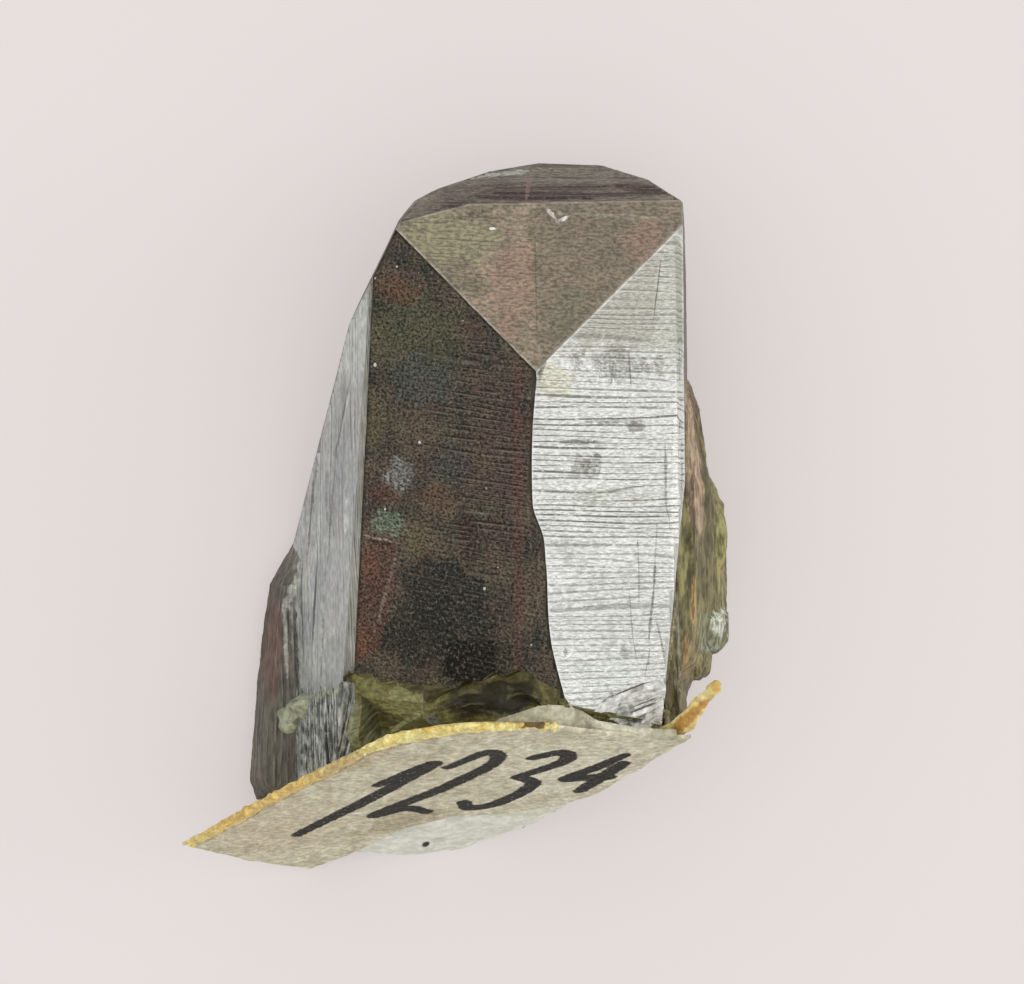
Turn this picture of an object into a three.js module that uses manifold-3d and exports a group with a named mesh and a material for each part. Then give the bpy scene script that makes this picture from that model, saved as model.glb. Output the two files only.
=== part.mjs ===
// A thortveitite crystal whose broken base is set in filler and glued to a paper label.
// Millimetres. The crystal lies on its back: its long axis runs along Y with the tip towards +Y,
// its two broad striated faces look up (+Z), and its flat back face rests on the surface below.
import * as THREE from "three";
import { ConvexGeometry } from "three/addons/geometries/ConvexGeometry.js";
import { mergeVertices } from "three/addons/utils/BufferGeometryUtils.js";
import Module from "manifold-3d";

const wasm = await Module();
wasm.setup();

// Driving dimensions.
const HEART = new THREE.Vector3(0.6, 0.4, 3.0); // the point that the main crystal's faces are measured from
const BLOCK = 40; // side of the blocks that cut flat faces, well over the crystal's length
const WELD = 1e-5; // corners nearer than this are one corner
const BASE_GAP = 0.4; // from the label's outer side to the crystal's broken base
const PAPER = 0.08;
const GLUE = 0.16;
const CLEARANCE = 0.02; // between pieces that touch
const FRONT_HOLLOW = { radius: 11.5, sag: 0.37, height: -0.95, across: -0.95 }; // in the front right face
const RIDGE = 0.2; // height of the low ridge across that hollow
const LEDGE = 0.035; // depth and half width of a striation ledge

/** A flat face as a goniometer gives it: azimuth from +Z to +X, rise towards +Y, distance from the heart. */
const face = (azimuth, rise, distance) => ({ azimuth, rise, distance });

const FRONT_LEFT = face(-40, -5, 1.89);
const FRONT_RIGHT = face(36, 1.5, 3.37);
const ROOF = face(1.5, 36, 4.08);
const LEFT_SIDE = face(-66.5, -0.5, 2.34);
const CROWN = face(-1, 71, 5.34);
const LABEL = face(15, -68, 5.2);
const BASE = face(LABEL.azimuth, LABEL.rise, LABEL.distance - BASE_GAP);
const GLUE_SIDE = face(LABEL.azimuth, LABEL.rise, LABEL.distance - PAPER - GLUE - 3 * CLEARANCE);

const MAIN_FACES = [
  FRONT_LEFT,
  FRONT_RIGHT,
  ROOF,
  LEFT_SIDE,
  CROWN,
  face(-20.5, 64, 5.25), // crown, left
  face(-56.5, -2.5, 2.2), // narrow strip between the front left face and the left side
  face(-122.5, 30.5, 3.31), // back left
  face(-86, 25, 3.58), // slope up to the tip, left
  face(-86.5, 39, 4.38),
  face(-143, 39.5, 4.2), // back of the tip, left to right
  face(168.5, 51.5, 5.64),
  face(121, 39.5, 5.65),
  face(98.5, 39.5, 5.9),
  face(87.5, 0.5, 3.63), // right side
  face(88, -5.5, 3.58),
  face(128, 0, 4.2), // back right
  face(180, 0, 3.0), // back, which the crystal rests on
  BASE,
  face(88, -53, 5.35), // broken corner of the base, right
];

// Outline on the front right face of the broken foot that reaches down towards the glue.
const CORNER_FOOT = [
  [-0.1, -3.6],
  [0.06, -3.95],
  [0.34, -4.02],
  [0.45, -4.16],
  [0.85, -4.28],
  [1.25, -4.25],
  [1.45, -4.05],
  [1.5, -3.5],
];
// Steps of the broken corner at the foot of the front right face, drawn on that face.
const BROKEN_CORNER = [
  {
    outline: [[-0.12, -3.9], [0.22, -3.62], [0.62, -3.52], [1.98, -3.3], [1.98, -4.8], [-0.12, -4.8]],
    depth: 0.07,
  },
  { outline: [[0.42, -3.86], [0.5, -3.74], [1.98, -3.42], [1.98, -3.56], [1.2, -3.72]], depth: 0.13 },
  { outline: [[0.98, -4.12], [1.44, -3.82], [1.98, -3.7], [1.98, -4.8], [0.98, -4.8]], depth: 0.2 },
];

function outwards({ azimuth, rise }) {
  const a = THREE.MathUtils.degToRad(azimuth);
  const r = THREE.MathUtils.degToRad(rise);
  return new THREE.Vector3(Math.sin(a) * Math.cos(r), Math.sin(r), Math.cos(a) * Math.cos(r));
}

/** The frame of a face: origin at the foot under the heart, X across, Y towards the tip, Z outwards. */
function frameOf(flat) {
  const out = outwards(flat);
  const across = new THREE.Vector3(0, 1, 0).cross(out).normalize();
  const up = out.clone().cross(across);
  const foot = out.clone().multiplyScalar(flat.distance).add(HEART);
  return new THREE.Matrix4().makeBasis(across, up, out).setPosition(foot);
}

/** A closed geometry as a solid, moved by a matrix. */
function solid(geometry, matrix = new THREE.Matrix4()) {
  const bare = geometry.clone().applyMatrix4(matrix);
  for (const name of ["normal", "uv"]) bare.deleteAttribute(name);
  const merged = mergeVertices(bare, WELD);
  const corners = Array.from(merged.index.array);
  const triVerts = [];
  for (let i = 0; i < corners.length; i += 3) {
    const [a, b, c] = corners.slice(i, i + 3);
    if (a !== b && b !== c && c !== a) triVerts.push(a, b, c);
  }
  return new wasm.Manifold(
    new wasm.Mesh({
      numProp: 3,
      vertProperties: merged.attributes.position.array,
      triVerts: new Uint32Array(triVerts),
    }),
  );
}

function geometryOf(body) {
  const { vertProperties, triVerts } = body.getMesh();
  const geometry = new THREE.BufferGeometry();
  geometry.setAttribute("position", new THREE.BufferAttribute(vertProperties, 3));
  geometry.setIndex(new THREE.BufferAttribute(triVerts, 1));
  geometry.computeVertexNormals();
  return geometry;
}

/** Everything beyond a flat face. */
function beyond(flat) {
  return solid(new THREE.BoxGeometry(BLOCK, BLOCK, BLOCK).translate(0, 0, BLOCK / 2), frameOf(flat));
}

function cutBy(faces) {
  const start = new THREE.BoxGeometry(BLOCK / 2, BLOCK / 2, BLOCK / 2);
  let body = solid(start.translate(...HEART.toArray()));
  for (const flat of faces) body = body.subtract(beyond(flat));
  return body;
}

/** An outline drawn in a frame, from one height to another along the frame's Z. */
function slab(outline, low, high, frame = new THREE.Matrix4()) {
  const shape = new THREE.Shape(outline.map(([x, y]) => new THREE.Vector2(x, y)));
  const geometry = new THREE.ExtrudeGeometry(shape, { depth: high - low, bevelEnabled: false });
  return solid(geometry.translate(0, 0, low), frame);
}

/** A crystal blank: an outline in XY whose upper edge slopes in over a width and a depth. */
function blank(outline, low, high, slopeWidth, slopeDepth) {
  const shape = new THREE.Shape(outline.map(([x, y]) => new THREE.Vector2(x, y)));
  const geometry = new THREE.ExtrudeGeometry(shape, {
    depth: high - low - 2 * slopeDepth,
    bevelThickness: slopeDepth,
    bevelSize: slopeWidth,
    bevelOffset: -slopeWidth,
    bevelSegments: 1,
  });
  return solid(geometry.translate(0, 0, low + slopeDepth));
}

/** A groove of square section, on edge, between two points of a frame's XY plane. */
function groove(frame, [x0, y0], [x1, y1], half) {
  const side = half * Math.SQRT2;
  const length = Math.hypot(x1 - x0, y1 - y0);
  const place = new THREE.Matrix4()
    .makeRotationZ(Math.atan2(y1 - y0, x1 - x0))
    .multiply(new THREE.Matrix4().makeRotationX(Math.PI / 4));
  place.setPosition((x0 + x1) / 2, (y0 + y1) / 2, 0);
  return solid(new THREE.BoxGeometry(length, side, side), frame.clone().multiply(place));
}

/** A rounded lump, or the hollow that it leaves: centre, half sizes and a turn about the frame's Z. */
function lump([x, y, z], [a, b, c], turn = 0, frame = new THREE.Matrix4(), detail = 2) {
  const place = new THREE.Matrix4()
    .makeRotationZ(THREE.MathUtils.degToRad(turn))
    .scale(new THREE.Vector3(a, b, c))
    .setPosition(x, y, z);
  return solid(new THREE.IcosahedronGeometry(1, detail), frame.clone().multiply(place));
}

/** The ground tool that hollows the front right face: a big wheel whose rim carries the striation ledges. */
function frontWheel() {
  const { radius, sag, height, across } = FRONT_HOLLOW;
  const { smoothstep } = THREE.MathUtils;
  const ridge = (t) => RIDGE * (1 - smoothstep(t, 0, 0.7)) * smoothstep(t, -2, -0.2);
  const reach = 4;
  const pitches = [0.52, 0.3, 0.44, 0.26, 0.6, 0.34, 0.28, 0.5];
  const rim = [];
  const onRim = (t, extra = 0) => {
    rim.push(new THREE.Vector2(Math.sqrt(radius ** 2 - t ** 2) - ridge(t) + extra, t));
  };
  rim.push(new THREE.Vector2(0, -reach));
  onRim(-reach);
  let t = -reach + pitches[0];
  for (let i = 1; t < reach - LEDGE; i += 1) {
    onRim(t - LEDGE);
    onRim(t, LEDGE);
    onRim(t + LEDGE);
    t += pitches[i % pitches.length];
  }
  onRim(reach);
  rim.push(new THREE.Vector2(0, reach));
  const wheel = new THREE.LatheGeometry(rim, 128);
  const place = frameOf(FRONT_RIGHT).multiply(
    new THREE.Matrix4().setPosition(across, height, radius - sag),
  );
  return solid(wheel, place);
}

/** Ledges across the front left face, stepping down to the right as the striations do. */
function frontLeftGrooves() {
  const frame = frameOf(FRONT_LEFT);
  const pitches = [0.33, 0.52, 0.28, 0.62, 0.38, 0.24, 0.47];
  const fall = Math.tan(THREE.MathUtils.degToRad(7));
  const grooves = [];
  let y = 2.7;
  for (let i = 0; y > -2.2; i += 1) {
    const left = 0.1 + 0.9 * (i % 3);
    grooves.push(groove(frame, [left, y], [3.6, y - fall * (3.6 - left)], LEDGE));
    y -= pitches[i % pitches.length];
  }
  return grooves;
}

/** The broken foot of the front left face: a slanting fracture with a deep hollow beside it. */
function fracture() {
  const slope = beyond(face(-42, -37, 3.36));
  const rightOfStrip = beyond(face(50, 0, -1.84));
  return slope.intersect(rightOfStrip);
}

function mainCrystal() {
  const left = frameOf(LEFT_SIDE);
  const roof = frameOf(ROOF);
  const right = frameOf(FRONT_RIGHT);
  const crown = frameOf(CROWN);
  const cuts = [
    frontWheel(),
    ...frontLeftGrooves(),
    fracture(),
    lump([1.0, -3.45, 5.5], [0.85, 0.34, 0.42], -8), // dark hollow under the front edge
    groove(roof, [0.87, -0.3], [0.85, 3.5], 0.025), // twin seam up the roof
    groove(roof, [1.02, 3.4], [1.25, 3.12], 0.04), // chipped notch at the roof's top edge
    groove(roof, [1.25, 3.12], [1.5, 2.98], 0.04),
    groove(roof, [1.25, 3.12], [1.42, 3.4], 0.035),
    groove(crown, [-0.2, -1.27], [3.3, -1.12], 0.07), // ledge along the crown's lower edge
    groove(crown, [0.4, -0.5], [2.4, -0.55], 0.05),
    groove(left, [-2.2, 2.1], [-3.0, -2.9], 0.05), // streaks down the left side
    groove(left, [-1.9, 0.4], [-2.35, -3.1], 0.05),
    groove(left, [-3.25, -0.9], [-3.7, -3.4], 0.06),
    groove(right, [1.9, 2.4], [1.7, 0.6], 0.03), // cracks in the front right face
    groove(right, [1.55, -1.7], [1.2, -3.3], 0.03),
    ...BROKEN_CORNER.map(({ outline, depth }) => slab(outline, -depth, 0.3, right)),
    lump([0.1, -4.1, 0.05], [0.32, 0.22, 0.16], 15, right),
  ];
  let body = cutBy(MAIN_FACES);
  for (const cut of cuts) body = body.subtract(cut);
  return body;
}

/** The smaller crystals and broken pieces that grew together with the main one. */
function grownPieces() {
  const left = frameOf(LEFT_SIDE);
  const shoulder = [
    [-2.5, 0.3],
    [-2.88, -0.25],
    [-3.2, -0.85],
    [-3.46, -1.3],
    [-3.56, -1.9],
    [-3.7, -3.1],
    [-3.83, -4.95],
    [-3.7, -5.3],
    [-2.4, -5.6],
    [-2.3, -0.6],
  ];
  const sideUpper = [
    [3.7, 2.75],
    [4.27, 2.45],
    [4.45, 1.9],
    [4.56, 1.2],
    [4.66, 0.5],
    [4.64, -1.6],
    [4.5, -2.7],
    [4.27, -3.2],
    [4.2, -3.6],
    [4.05, -3.95],
    [3.3, -4.0],
    [3.2, 1.5],
  ];
  const sideLower = [
    [3.6, 1.1],
    [4.56, 0.9],
    [4.74, 0.6],
    [4.92, 0.18],
    [5.0, -1.4],
    [5.02, -1.95],
    [4.86, -2.4],
    [4.5, -2.85],
    [3.4, -3.2],
  ];
  const fibres = [
    [-2.95, -3.86],
    [-1.1, -3.42],
    [-1.3, -4.85],
    [-3.3, -5.6],
    [-4.1, -5.6],
    [-4.0, -3.8],
  ];
  return [
    blank(shoulder, 0, 0.95, 0.3, 0.45),
    blank(sideUpper, 0.7, 3.9, 0.28, 0.9),
    blank(sideLower, 0.35, 2.9, 0.3, 0.8),
    slab(fibres, -0.4, 0.13, left),
    ...[-1.55, -2.0, -2.5, -2.95, -3.45].map((x) => groove(left, [x, -3.9], [x - 0.12, -5.4], 0.19)),
    lump([-3.75, -4.02, 0.1], [0.6, 0.22, 0.2], 8, left), // pale knob above the fibres
    lump([-2.85, -3.85, 0.08], [0.5, 0.16, 0.16], 14, left),
    lump([4.7, -2.2, 2.3], [0.3, 0.42, 0.5], -15), // pale knob at the foot of the side crystal
    lump([4.3, -2.95, 3.1], [0.28, 0.36, 0.5], 10),
    lump([4.74, -0.3, 2.2], [0.2, 0.75, 0.5], 8),
  ];
}

const ABOVE_GROUND = slab([[-20, -20], [20, -20], [20, 20], [-20, 20]], 0, 20);

function crystalBody() {
  let body = mainCrystal();
  for (const piece of grownPieces()) body = body.add(piece);
  const foot = slab(CORNER_FOOT, -0.8, -0.15, frameOf(FRONT_RIGHT)).subtract(beyond(GLUE_SIDE));
  return body.subtract(beyond(BASE)).add(foot).intersect(ABOVE_GROUND);
}

// Outlines on the label's plane, in the label's own frame.
const RIM_CORNERS = 8; // of the label's outline, from its left point, carry the glue rim
const LABEL_OUTLINE = [
  [-5.25, -4.42],
  [-4.28, -2.05],
  [-3.64, -0.55],
  [-3.12, 0.44],
  [-2.7, 1.37],
  [-1.97, 1.77],
  [-1.31, 1.98],
  [0.22, 1.94],
  [1.19, 1.5],
  [2.2, 1.22],
  [2.98, 1.19],
  [2.73, 0.3],
  [2.49, -0.56],
  [2.05, -1.75],
  [1.49, -2.51],
  [0.45, -2.92],
  [-0.47, -3.05],
  [-1.25, -3.75],
  [-1.95, -5.27],
  [-2.48, -5.95],
  [-3.84, -5.35],
];
// Where the paper ends below the glue rim, from left to right.
const PAPER_EDGE = [
  [-4.87, -4.28],
  [-4.32, -3.11],
  [-3.99, -2.19],
  [-3.56, -1.29],
  [-3.13, -0.39],
  [-2.75, 0.55],
  [-2.13, 1.06],
  [-1.7, 1.38],
  [-0.75, 1.68],
  [0.1, 1.86],
];
const FILLER_PAD = [
  [-2.9, -3.3],
  [-2.0, -1.4],
  [-0.9, 0.6],
  [0.0, 1.7],
  [0.3, 2.1],
  [1.25, 1.68],
  [2.2, 1.4],
  [2.65, 1.35],
  [2.3, -1.0],
  [1.7, -2.75],
  [0.87, -4.5],
  [0.4, -5.05],
  [-0.3, -5.4],
  [-1.2, -5.4],
  [-2.2, -5.2],
];
const FILLER_FILLET = [
  [0.25, 1.97],
  [0.3, 2.12],
  [0.62, 1.99],
  [1.25, 1.69],
  [1.8, 1.42],
  [1.21, 1.54],
];
const FILLER_LUMP = [
  [1.55, -2.53],
  [1.74, -2.8],
  [1.35, -3.7],
  [0.87, -4.52],
  [0.4, -5.08],
  [-0.3, -5.42],
  [-1.2, -5.42],
  [-1.88, -5.3],
  [-1.2, -3.79],
  [-0.45, -3.11],
  [0.45, -2.98],
];

function paperLabel() {
  const outline = [LABEL_OUTLINE[0], ...PAPER_EDGE, ...LABEL_OUTLINE.slice(RIM_CORNERS)];
  return slab(outline, -PAPER, 0, frameOf(LABEL)).intersect(ABOVE_GROUND);
}

/** The strip of glue between the label's front edge and the paper's. */
function glueStrip() {
  const gap = 2 * CLEARANCE;
  const front = [[-5.17, -4.22], ...LABEL_OUTLINE.slice(1, RIM_CORNERS)];
  const back = PAPER_EDGE.map(([x, y]) => [x - gap, y + gap]).reverse();
  return slab([...front, ...back], -PAPER - 2 * CLEARANCE, -CLEARANCE, frameOf(LABEL));
}

/** The glue shows as a beaded rim along the label's front edges and as a curled tongue on the right. */
function glueLayer() {
  const frame = frameOf(LABEL);
  const top = -PAPER - CLEARANCE;
  let body = slab(LABEL_OUTLINE, top - GLUE, top, frame).add(glueStrip());
  const rim = LABEL_OUTLINE.slice(0, RIM_CORNERS);
  const bead = 0.11;
  for (let i = 1; i < rim.length; i += 1) {
    const [x0, y0] = rim[i - 1];
    const [x1, y1] = rim[i];
    const count = Math.max(1, Math.round(Math.hypot(x1 - x0, y1 - y0) / 0.42));
    const turn = THREE.MathUtils.radToDeg(Math.atan2(y1 - y0, x1 - x0));
    for (let k = 0; k < count; k += 1) {
      const share = (k + 0.5) / count;
      const at = [x0 + share * (x1 - x0), y0 + share * (y1 - y0), top - GLUE / 2];
      body = body.add(lump(at, [0.25, bead, GLUE / 2], turn, frame, 0));
    }
  }
  const tongue = [
    [
      [3.72, -4.0, 4.85],
      [4.27, -3.95, 5.1],
      [4.6, -3.36, 5.8],
      [4.3, -3.27, 5.9],
      [4.01, -3.68, 5.3],
    ],
    [
      [4.6, -3.36, 5.8],
      [4.76, -3.08, 6.3],
      [4.62, -2.9, 6.4],
      [4.3, -3.27, 5.9],
    ],
  ];
  for (const outline of tongue) {
    const outer = outline.map((corner) => new THREE.Vector3(...corner));
    const inner = outer.map((corner) => corner.clone().add(new THREE.Vector3(0.05, 0.06, -0.14)));
    body = body.add(solid(new ConvexGeometry([...outer, ...inner])));
  }
  return body.intersect(ABOVE_GROUND);
}

function fillerBody(crystal) {
  const frame = frameOf(LABEL);
  const glueBack = -PAPER - CLEARANCE - GLUE - CLEARANCE;
  const creep = 0.06; // how far the filler creeps up round the broken base
  const body = slab(FILLER_PAD, -BASE_GAP - creep, glueBack, frame)
    .add(slab(FILLER_FILLET, -BASE_GAP - creep, -0.05, frame))
    .add(slab(FILLER_LUMP, -BASE_GAP - 5 * creep, -0.12, frame))
    .add(lump([0.2, -4.0, -0.2], [1.0, 0.75, 0.16], 20, frame))
    .intersect(ABOVE_GROUND);
  const away = outwards(LABEL).multiplyScalar(CLEARANCE);
  return body.subtract(crystal).subtract(crystal.translate(away.toArray()));
}

/** The main body of a solid, without the crumbs that a cut leaves beside it. */
function withoutCrumbs(body) {
  return body.decompose().reduce((main, piece) => (piece.volume() > main.volume() ? piece : main));
}

const crystal = crystalBody();
const glue = glueLayer();
const paper = paperLabel();
const filler = withoutCrumbs(fillerBody(crystal).subtract(glue).subtract(paper));

const thortveitite = new THREE.MeshStandardMaterial({ color: 0x5b5348, roughness: 0.35, metalness: 0 });
const plaster = new THREE.MeshStandardMaterial({ color: 0xd6d8d0, roughness: 0.9, metalness: 0 });
const amberGlue = new THREE.MeshStandardMaterial({ color: 0xc79a45, roughness: 0.45, metalness: 0 });
const agedPaper = new THREE.MeshStandardMaterial({ color: 0xc4b8a4, roughness: 0.9, metalness: 0 });

const specimen = new THREE.Group();
for (const [name, body, material] of [
  ["crystal", crystal, thortveitite],
  ["base_filler", filler, plaster],
  ["glue_layer", glue, amberGlue],
  ["paper_label", paper, agedPaper],
]) {
  const mesh = new THREE.Mesh(geometryOf(body), material);
  mesh.name = name;
  specimen.add(mesh);
}

// The origin is the middle of the footprint, on the surface that the specimen lies on.
const box = new THREE.Box3().setFromObject(specimen);
const middle = box.getCenter(new THREE.Vector3());
specimen.position.set(-middle.x, -middle.y, -box.min.z);

export default specimen;
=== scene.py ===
"""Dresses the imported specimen: a striated crystal whose broken base is set in filler on a paper label.

Every piece is modelled in millimetres in the maker's frame (X to the right of the two striated front
faces, Y along the crystal towards its tip, Z up) and laid into the CAD row's frame at the end.
"""

import logging
import math
from collections.abc import Callable, Iterable, Sequence
from dataclasses import dataclass
from enum import Enum

import bmesh
import bpy
import numpy as np
from mathutils import Matrix, Vector

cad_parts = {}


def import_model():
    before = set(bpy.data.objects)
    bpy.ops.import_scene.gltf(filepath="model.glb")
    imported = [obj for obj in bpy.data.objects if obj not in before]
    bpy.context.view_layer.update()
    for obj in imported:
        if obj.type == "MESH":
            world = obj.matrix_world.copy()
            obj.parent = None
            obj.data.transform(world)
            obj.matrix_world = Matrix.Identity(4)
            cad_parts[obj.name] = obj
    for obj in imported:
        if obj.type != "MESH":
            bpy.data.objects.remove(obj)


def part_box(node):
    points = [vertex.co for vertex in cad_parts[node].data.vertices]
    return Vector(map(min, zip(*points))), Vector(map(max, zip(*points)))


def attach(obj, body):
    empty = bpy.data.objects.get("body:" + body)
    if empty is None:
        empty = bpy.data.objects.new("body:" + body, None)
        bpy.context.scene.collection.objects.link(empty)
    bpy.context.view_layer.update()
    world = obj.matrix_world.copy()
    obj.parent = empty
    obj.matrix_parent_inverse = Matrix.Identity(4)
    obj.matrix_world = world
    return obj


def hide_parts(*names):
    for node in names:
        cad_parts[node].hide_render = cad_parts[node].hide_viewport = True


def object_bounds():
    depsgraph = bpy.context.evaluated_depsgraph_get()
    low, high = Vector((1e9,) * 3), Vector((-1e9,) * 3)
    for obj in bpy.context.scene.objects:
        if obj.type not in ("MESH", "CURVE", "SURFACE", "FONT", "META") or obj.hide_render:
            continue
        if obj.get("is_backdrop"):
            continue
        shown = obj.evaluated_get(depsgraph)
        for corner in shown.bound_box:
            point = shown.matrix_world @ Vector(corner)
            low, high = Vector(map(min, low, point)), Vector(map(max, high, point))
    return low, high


LOG = logging.getLogger("specimen")

MM = 0.001
HEART = Vector((0.6, 0.4, 3.0))  # the point that the main crystal's faces are measured from
BASE_GAP = 0.4  # from the label's outer side to the crystal's broken base
PAPER = 0.08
GLUE = 0.16
CLEARANCE = 0.02
HOLLOW_RADIUS = 11.5  # of the shallow hollow in the front right face
HOLLOW_SAG = 0.37
HOLLOW_CENTRE = (-0.95, -0.95)
RIDGE = 0.2  # height of the low ridge across the hollow
SIDE_REACH = 5.02  # how far right the side crystal reaches, as in the CAD outline

Outline = Sequence[tuple[float, float]]
Socket = bpy.types.NodeSocket
Clouds = bpy.types.bpy_prop_collection  # a group's outputs, by name


class Slot(Enum):
    """The record's material slots."""

    CRYSTAL = "thortveitite"
    PLASTER = "plaster"
    GLUE = "glue"
    PAPER = "paper"


class Skin(Enum):
    """The finishes that the faces of the main crystal have."""

    DARK = 0
    SILVER = 1
    ROOF = 2
    CROWN = 3
    GREY = 4
    STRIP = 5
    REAR = 6
    FRACTURE = 7
    FLANK = 8
    BROKEN = 9


@dataclass(frozen=True)
class FlatFace:
    """A flat face as a goniometer gives it, measured from the crystal's heart.

    Attributes:
        azimuth: degrees from +Z towards +X.
        rise: degrees towards +Y.
        distance: millimetres from the heart.
    """

    azimuth: float
    rise: float
    distance: float

    def out(self) -> Vector:
        """The direction that the face looks in."""
        a, r = math.radians(self.azimuth), math.radians(self.rise)
        return Vector((math.sin(a) * math.cos(r), math.sin(r), math.cos(a) * math.cos(r)))

    def foot(self) -> Vector:
        """The point of the face that is nearest to the heart."""
        return HEART + self.out() * self.distance

    def frame(self, fall: float = 0.0) -> Matrix:
        """The face's own frame.

        Args:
            fall: degrees that the frame's X axis falls to the right.

        Returns:
            A matrix with X across, Y towards the tip, Z outwards and its origin at the foot.
        """
        out = self.out()
        across = Vector((0, 1, 0)).cross(out).normalized()
        turned = Matrix.Rotation(math.radians(-fall), 3, out) @ across
        up = out.cross(turned)
        rows = [[turned[i], up[i], out[i], self.foot()[i]] for i in range(3)]
        return Matrix([*rows, [0, 0, 0, 1]])


@dataclass(frozen=True)
class Relief:
    """How finely a crystal face is worked, in millimetres.

    Attributes:
        row: spacing of the mesh rows that carry the striations.
        column: spacing of the mesh columns.
        fall: degrees that the striations fall to the right.
        ledge: depth of the striation lines.
        pitch: mean distance between striation lines.
        swell: height of the slow unevenness.
        grit: height of the fine unevenness.
    """

    row: float = 0.12
    column: float = 0.12
    fall: float = 0.0
    ledge: float = 0.006
    pitch: float = 0.16
    swell: float = 0.012
    grit: float = 0.003


@dataclass(frozen=True)
class CrystalFace:
    """One face of the main crystal: where it lies, its finish and its relief."""

    flat: FlatFace
    skin: Skin
    relief: Relief = Relief()


FRONT_LEFT = FlatFace(-40, -5, 1.89)
FRONT_RIGHT = FlatFace(36, 1.5, 3.37)
ROOF = FlatFace(1.5, 36, 4.08)
LEFT_SIDE = FlatFace(-66.5, -0.5, 2.34)
CROWN = FlatFace(-1, 71, 5.34)
LABEL = FlatFace(15, -68, 5.2)
BASE = FlatFace(LABEL.azimuth, LABEL.rise, LABEL.distance - BASE_GAP)

FINE_STRIAE = Relief(0.022, 0.12, 0, 0.007, 0.105, 0.01, 0.0015)
DARK_STRIAE = Relief(0.022, 0.12, 7, 0.005, 0.11, 0.014, 0.003)
ROOF_GRAIN = Relief(0.045, 0.045, 4, 0.003, 0.2, 0.014, 0.004)
STREAKED = Relief(0.11, 0.03, 0, 0.0, 0.2, 0.02, 0.005)
CROWN_STEPS = Relief(0.045, 0.12, 2, 0.03, 0.3, 0.03, 0.006)

FACES = (
    CrystalFace(FRONT_LEFT, Skin.DARK, DARK_STRIAE),
    CrystalFace(FRONT_RIGHT, Skin.SILVER, FINE_STRIAE),
    CrystalFace(ROOF, Skin.ROOF, ROOF_GRAIN),
    CrystalFace(LEFT_SIDE, Skin.GREY, STREAKED),
    CrystalFace(CROWN, Skin.CROWN, CROWN_STEPS),
    CrystalFace(FlatFace(-20.5, 64, 5.25), Skin.CROWN, CROWN_STEPS),
    CrystalFace(FlatFace(-56.5, -2.5, 2.2), Skin.STRIP, Relief(0.1, 0.03, 0, 0.0, 0.2, 0.01, 0.003)),
    CrystalFace(FlatFace(-122.5, 30.5, 3.31), Skin.REAR),
    CrystalFace(FlatFace(-86, 25, 3.58), Skin.FLANK),
    CrystalFace(FlatFace(-86.5, 39, 4.38), Skin.FLANK),
    CrystalFace(FlatFace(-143, 39.5, 4.2), Skin.REAR),
    CrystalFace(FlatFace(168.5, 51.5, 5.64), Skin.REAR),
    CrystalFace(FlatFace(121, 39.5, 5.65), Skin.REAR),
    CrystalFace(FlatFace(98.5, 39.5, 5.9), Skin.FLANK),
    CrystalFace(FlatFace(87.5, 0.5, 3.63), Skin.FLANK, Relief(0.1, 0.12, 0, 0.012, 0.3)),
    CrystalFace(FlatFace(88, -5.5, 3.58), Skin.FLANK, Relief(0.1, 0.12, 0, 0.012, 0.3)),
    CrystalFace(FlatFace(128, 0, 4.2), Skin.REAR),
    CrystalFace(FlatFace(180, 0, 3.0), Skin.REAR),
    CrystalFace(BASE, Skin.FRACTURE),
    CrystalFace(FlatFace(88, -53, 5.35), Skin.FRACTURE),
)
CUT_FACE = CrystalFace(FlatFace(-42, -37, 3.36), Skin.FRACTURE, Relief(0.07, 0.07, 0, 0.0, 0.2, 0.05, 0.02))
CHIP_FACE = CrystalFace(FRONT_RIGHT, Skin.BROKEN, Relief(0.03, 0.05, -16, 0.025, 0.16, 0.02, 0.006))
CUT_INDEX = len(FACES)
CHIP_INDEX = CUT_INDEX + 1
DARK_INDEX, SILVER_INDEX = 0, 1  # the two front faces in FACES
UNDRESSED = "number_"  # how the materials are named that carry the face numbers
FOOT_EDGE = (  # the ragged upper edge of the fracture, on the front left face
    (-2.16, -3.2), (-1.91, -3.08), (-1.62, -3.14), (-1.38, -3.12), (-1.1, -3.26), (-0.83, -3.22),
    (-0.55, -3.38), (-0.24, -3.36), (0.0, -3.52), (0.24, -3.42), (0.62, -3.36), (0.8, -3.2), (1.19, -3.22),
    (1.5, -3.04), (1.78, -3.1), (2.1, -2.98), (2.37, -3.04), (2.62, -3.2), (3.04, -3.34),
)
CORNER_STEPS = (  # outlines on the front right face, and how deep each step lies
    (
        ((-0.12, -3.9), (0.22, -3.62), (0.3, -3.68), (0.62, -3.52), (1.0, -3.47), (1.98, -3.3))
        + ((1.98, -4.8), (-0.12, -4.8)),
        0.07,
    ),
    (((0.42, -3.86), (0.5, -3.74), (1.98, -3.42), (1.98, -3.56), (1.2, -3.72), (1.12, -3.78)), 0.13),
    (
        ((0.98, -4.12), (1.12, -4.16), (1.22, -4.0), (1.4, -4.03), (1.44, -3.82), (1.98, -3.7))
        + ((1.98, -4.8), (0.98, -4.8)),
        0.2,
    ),
)


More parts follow.
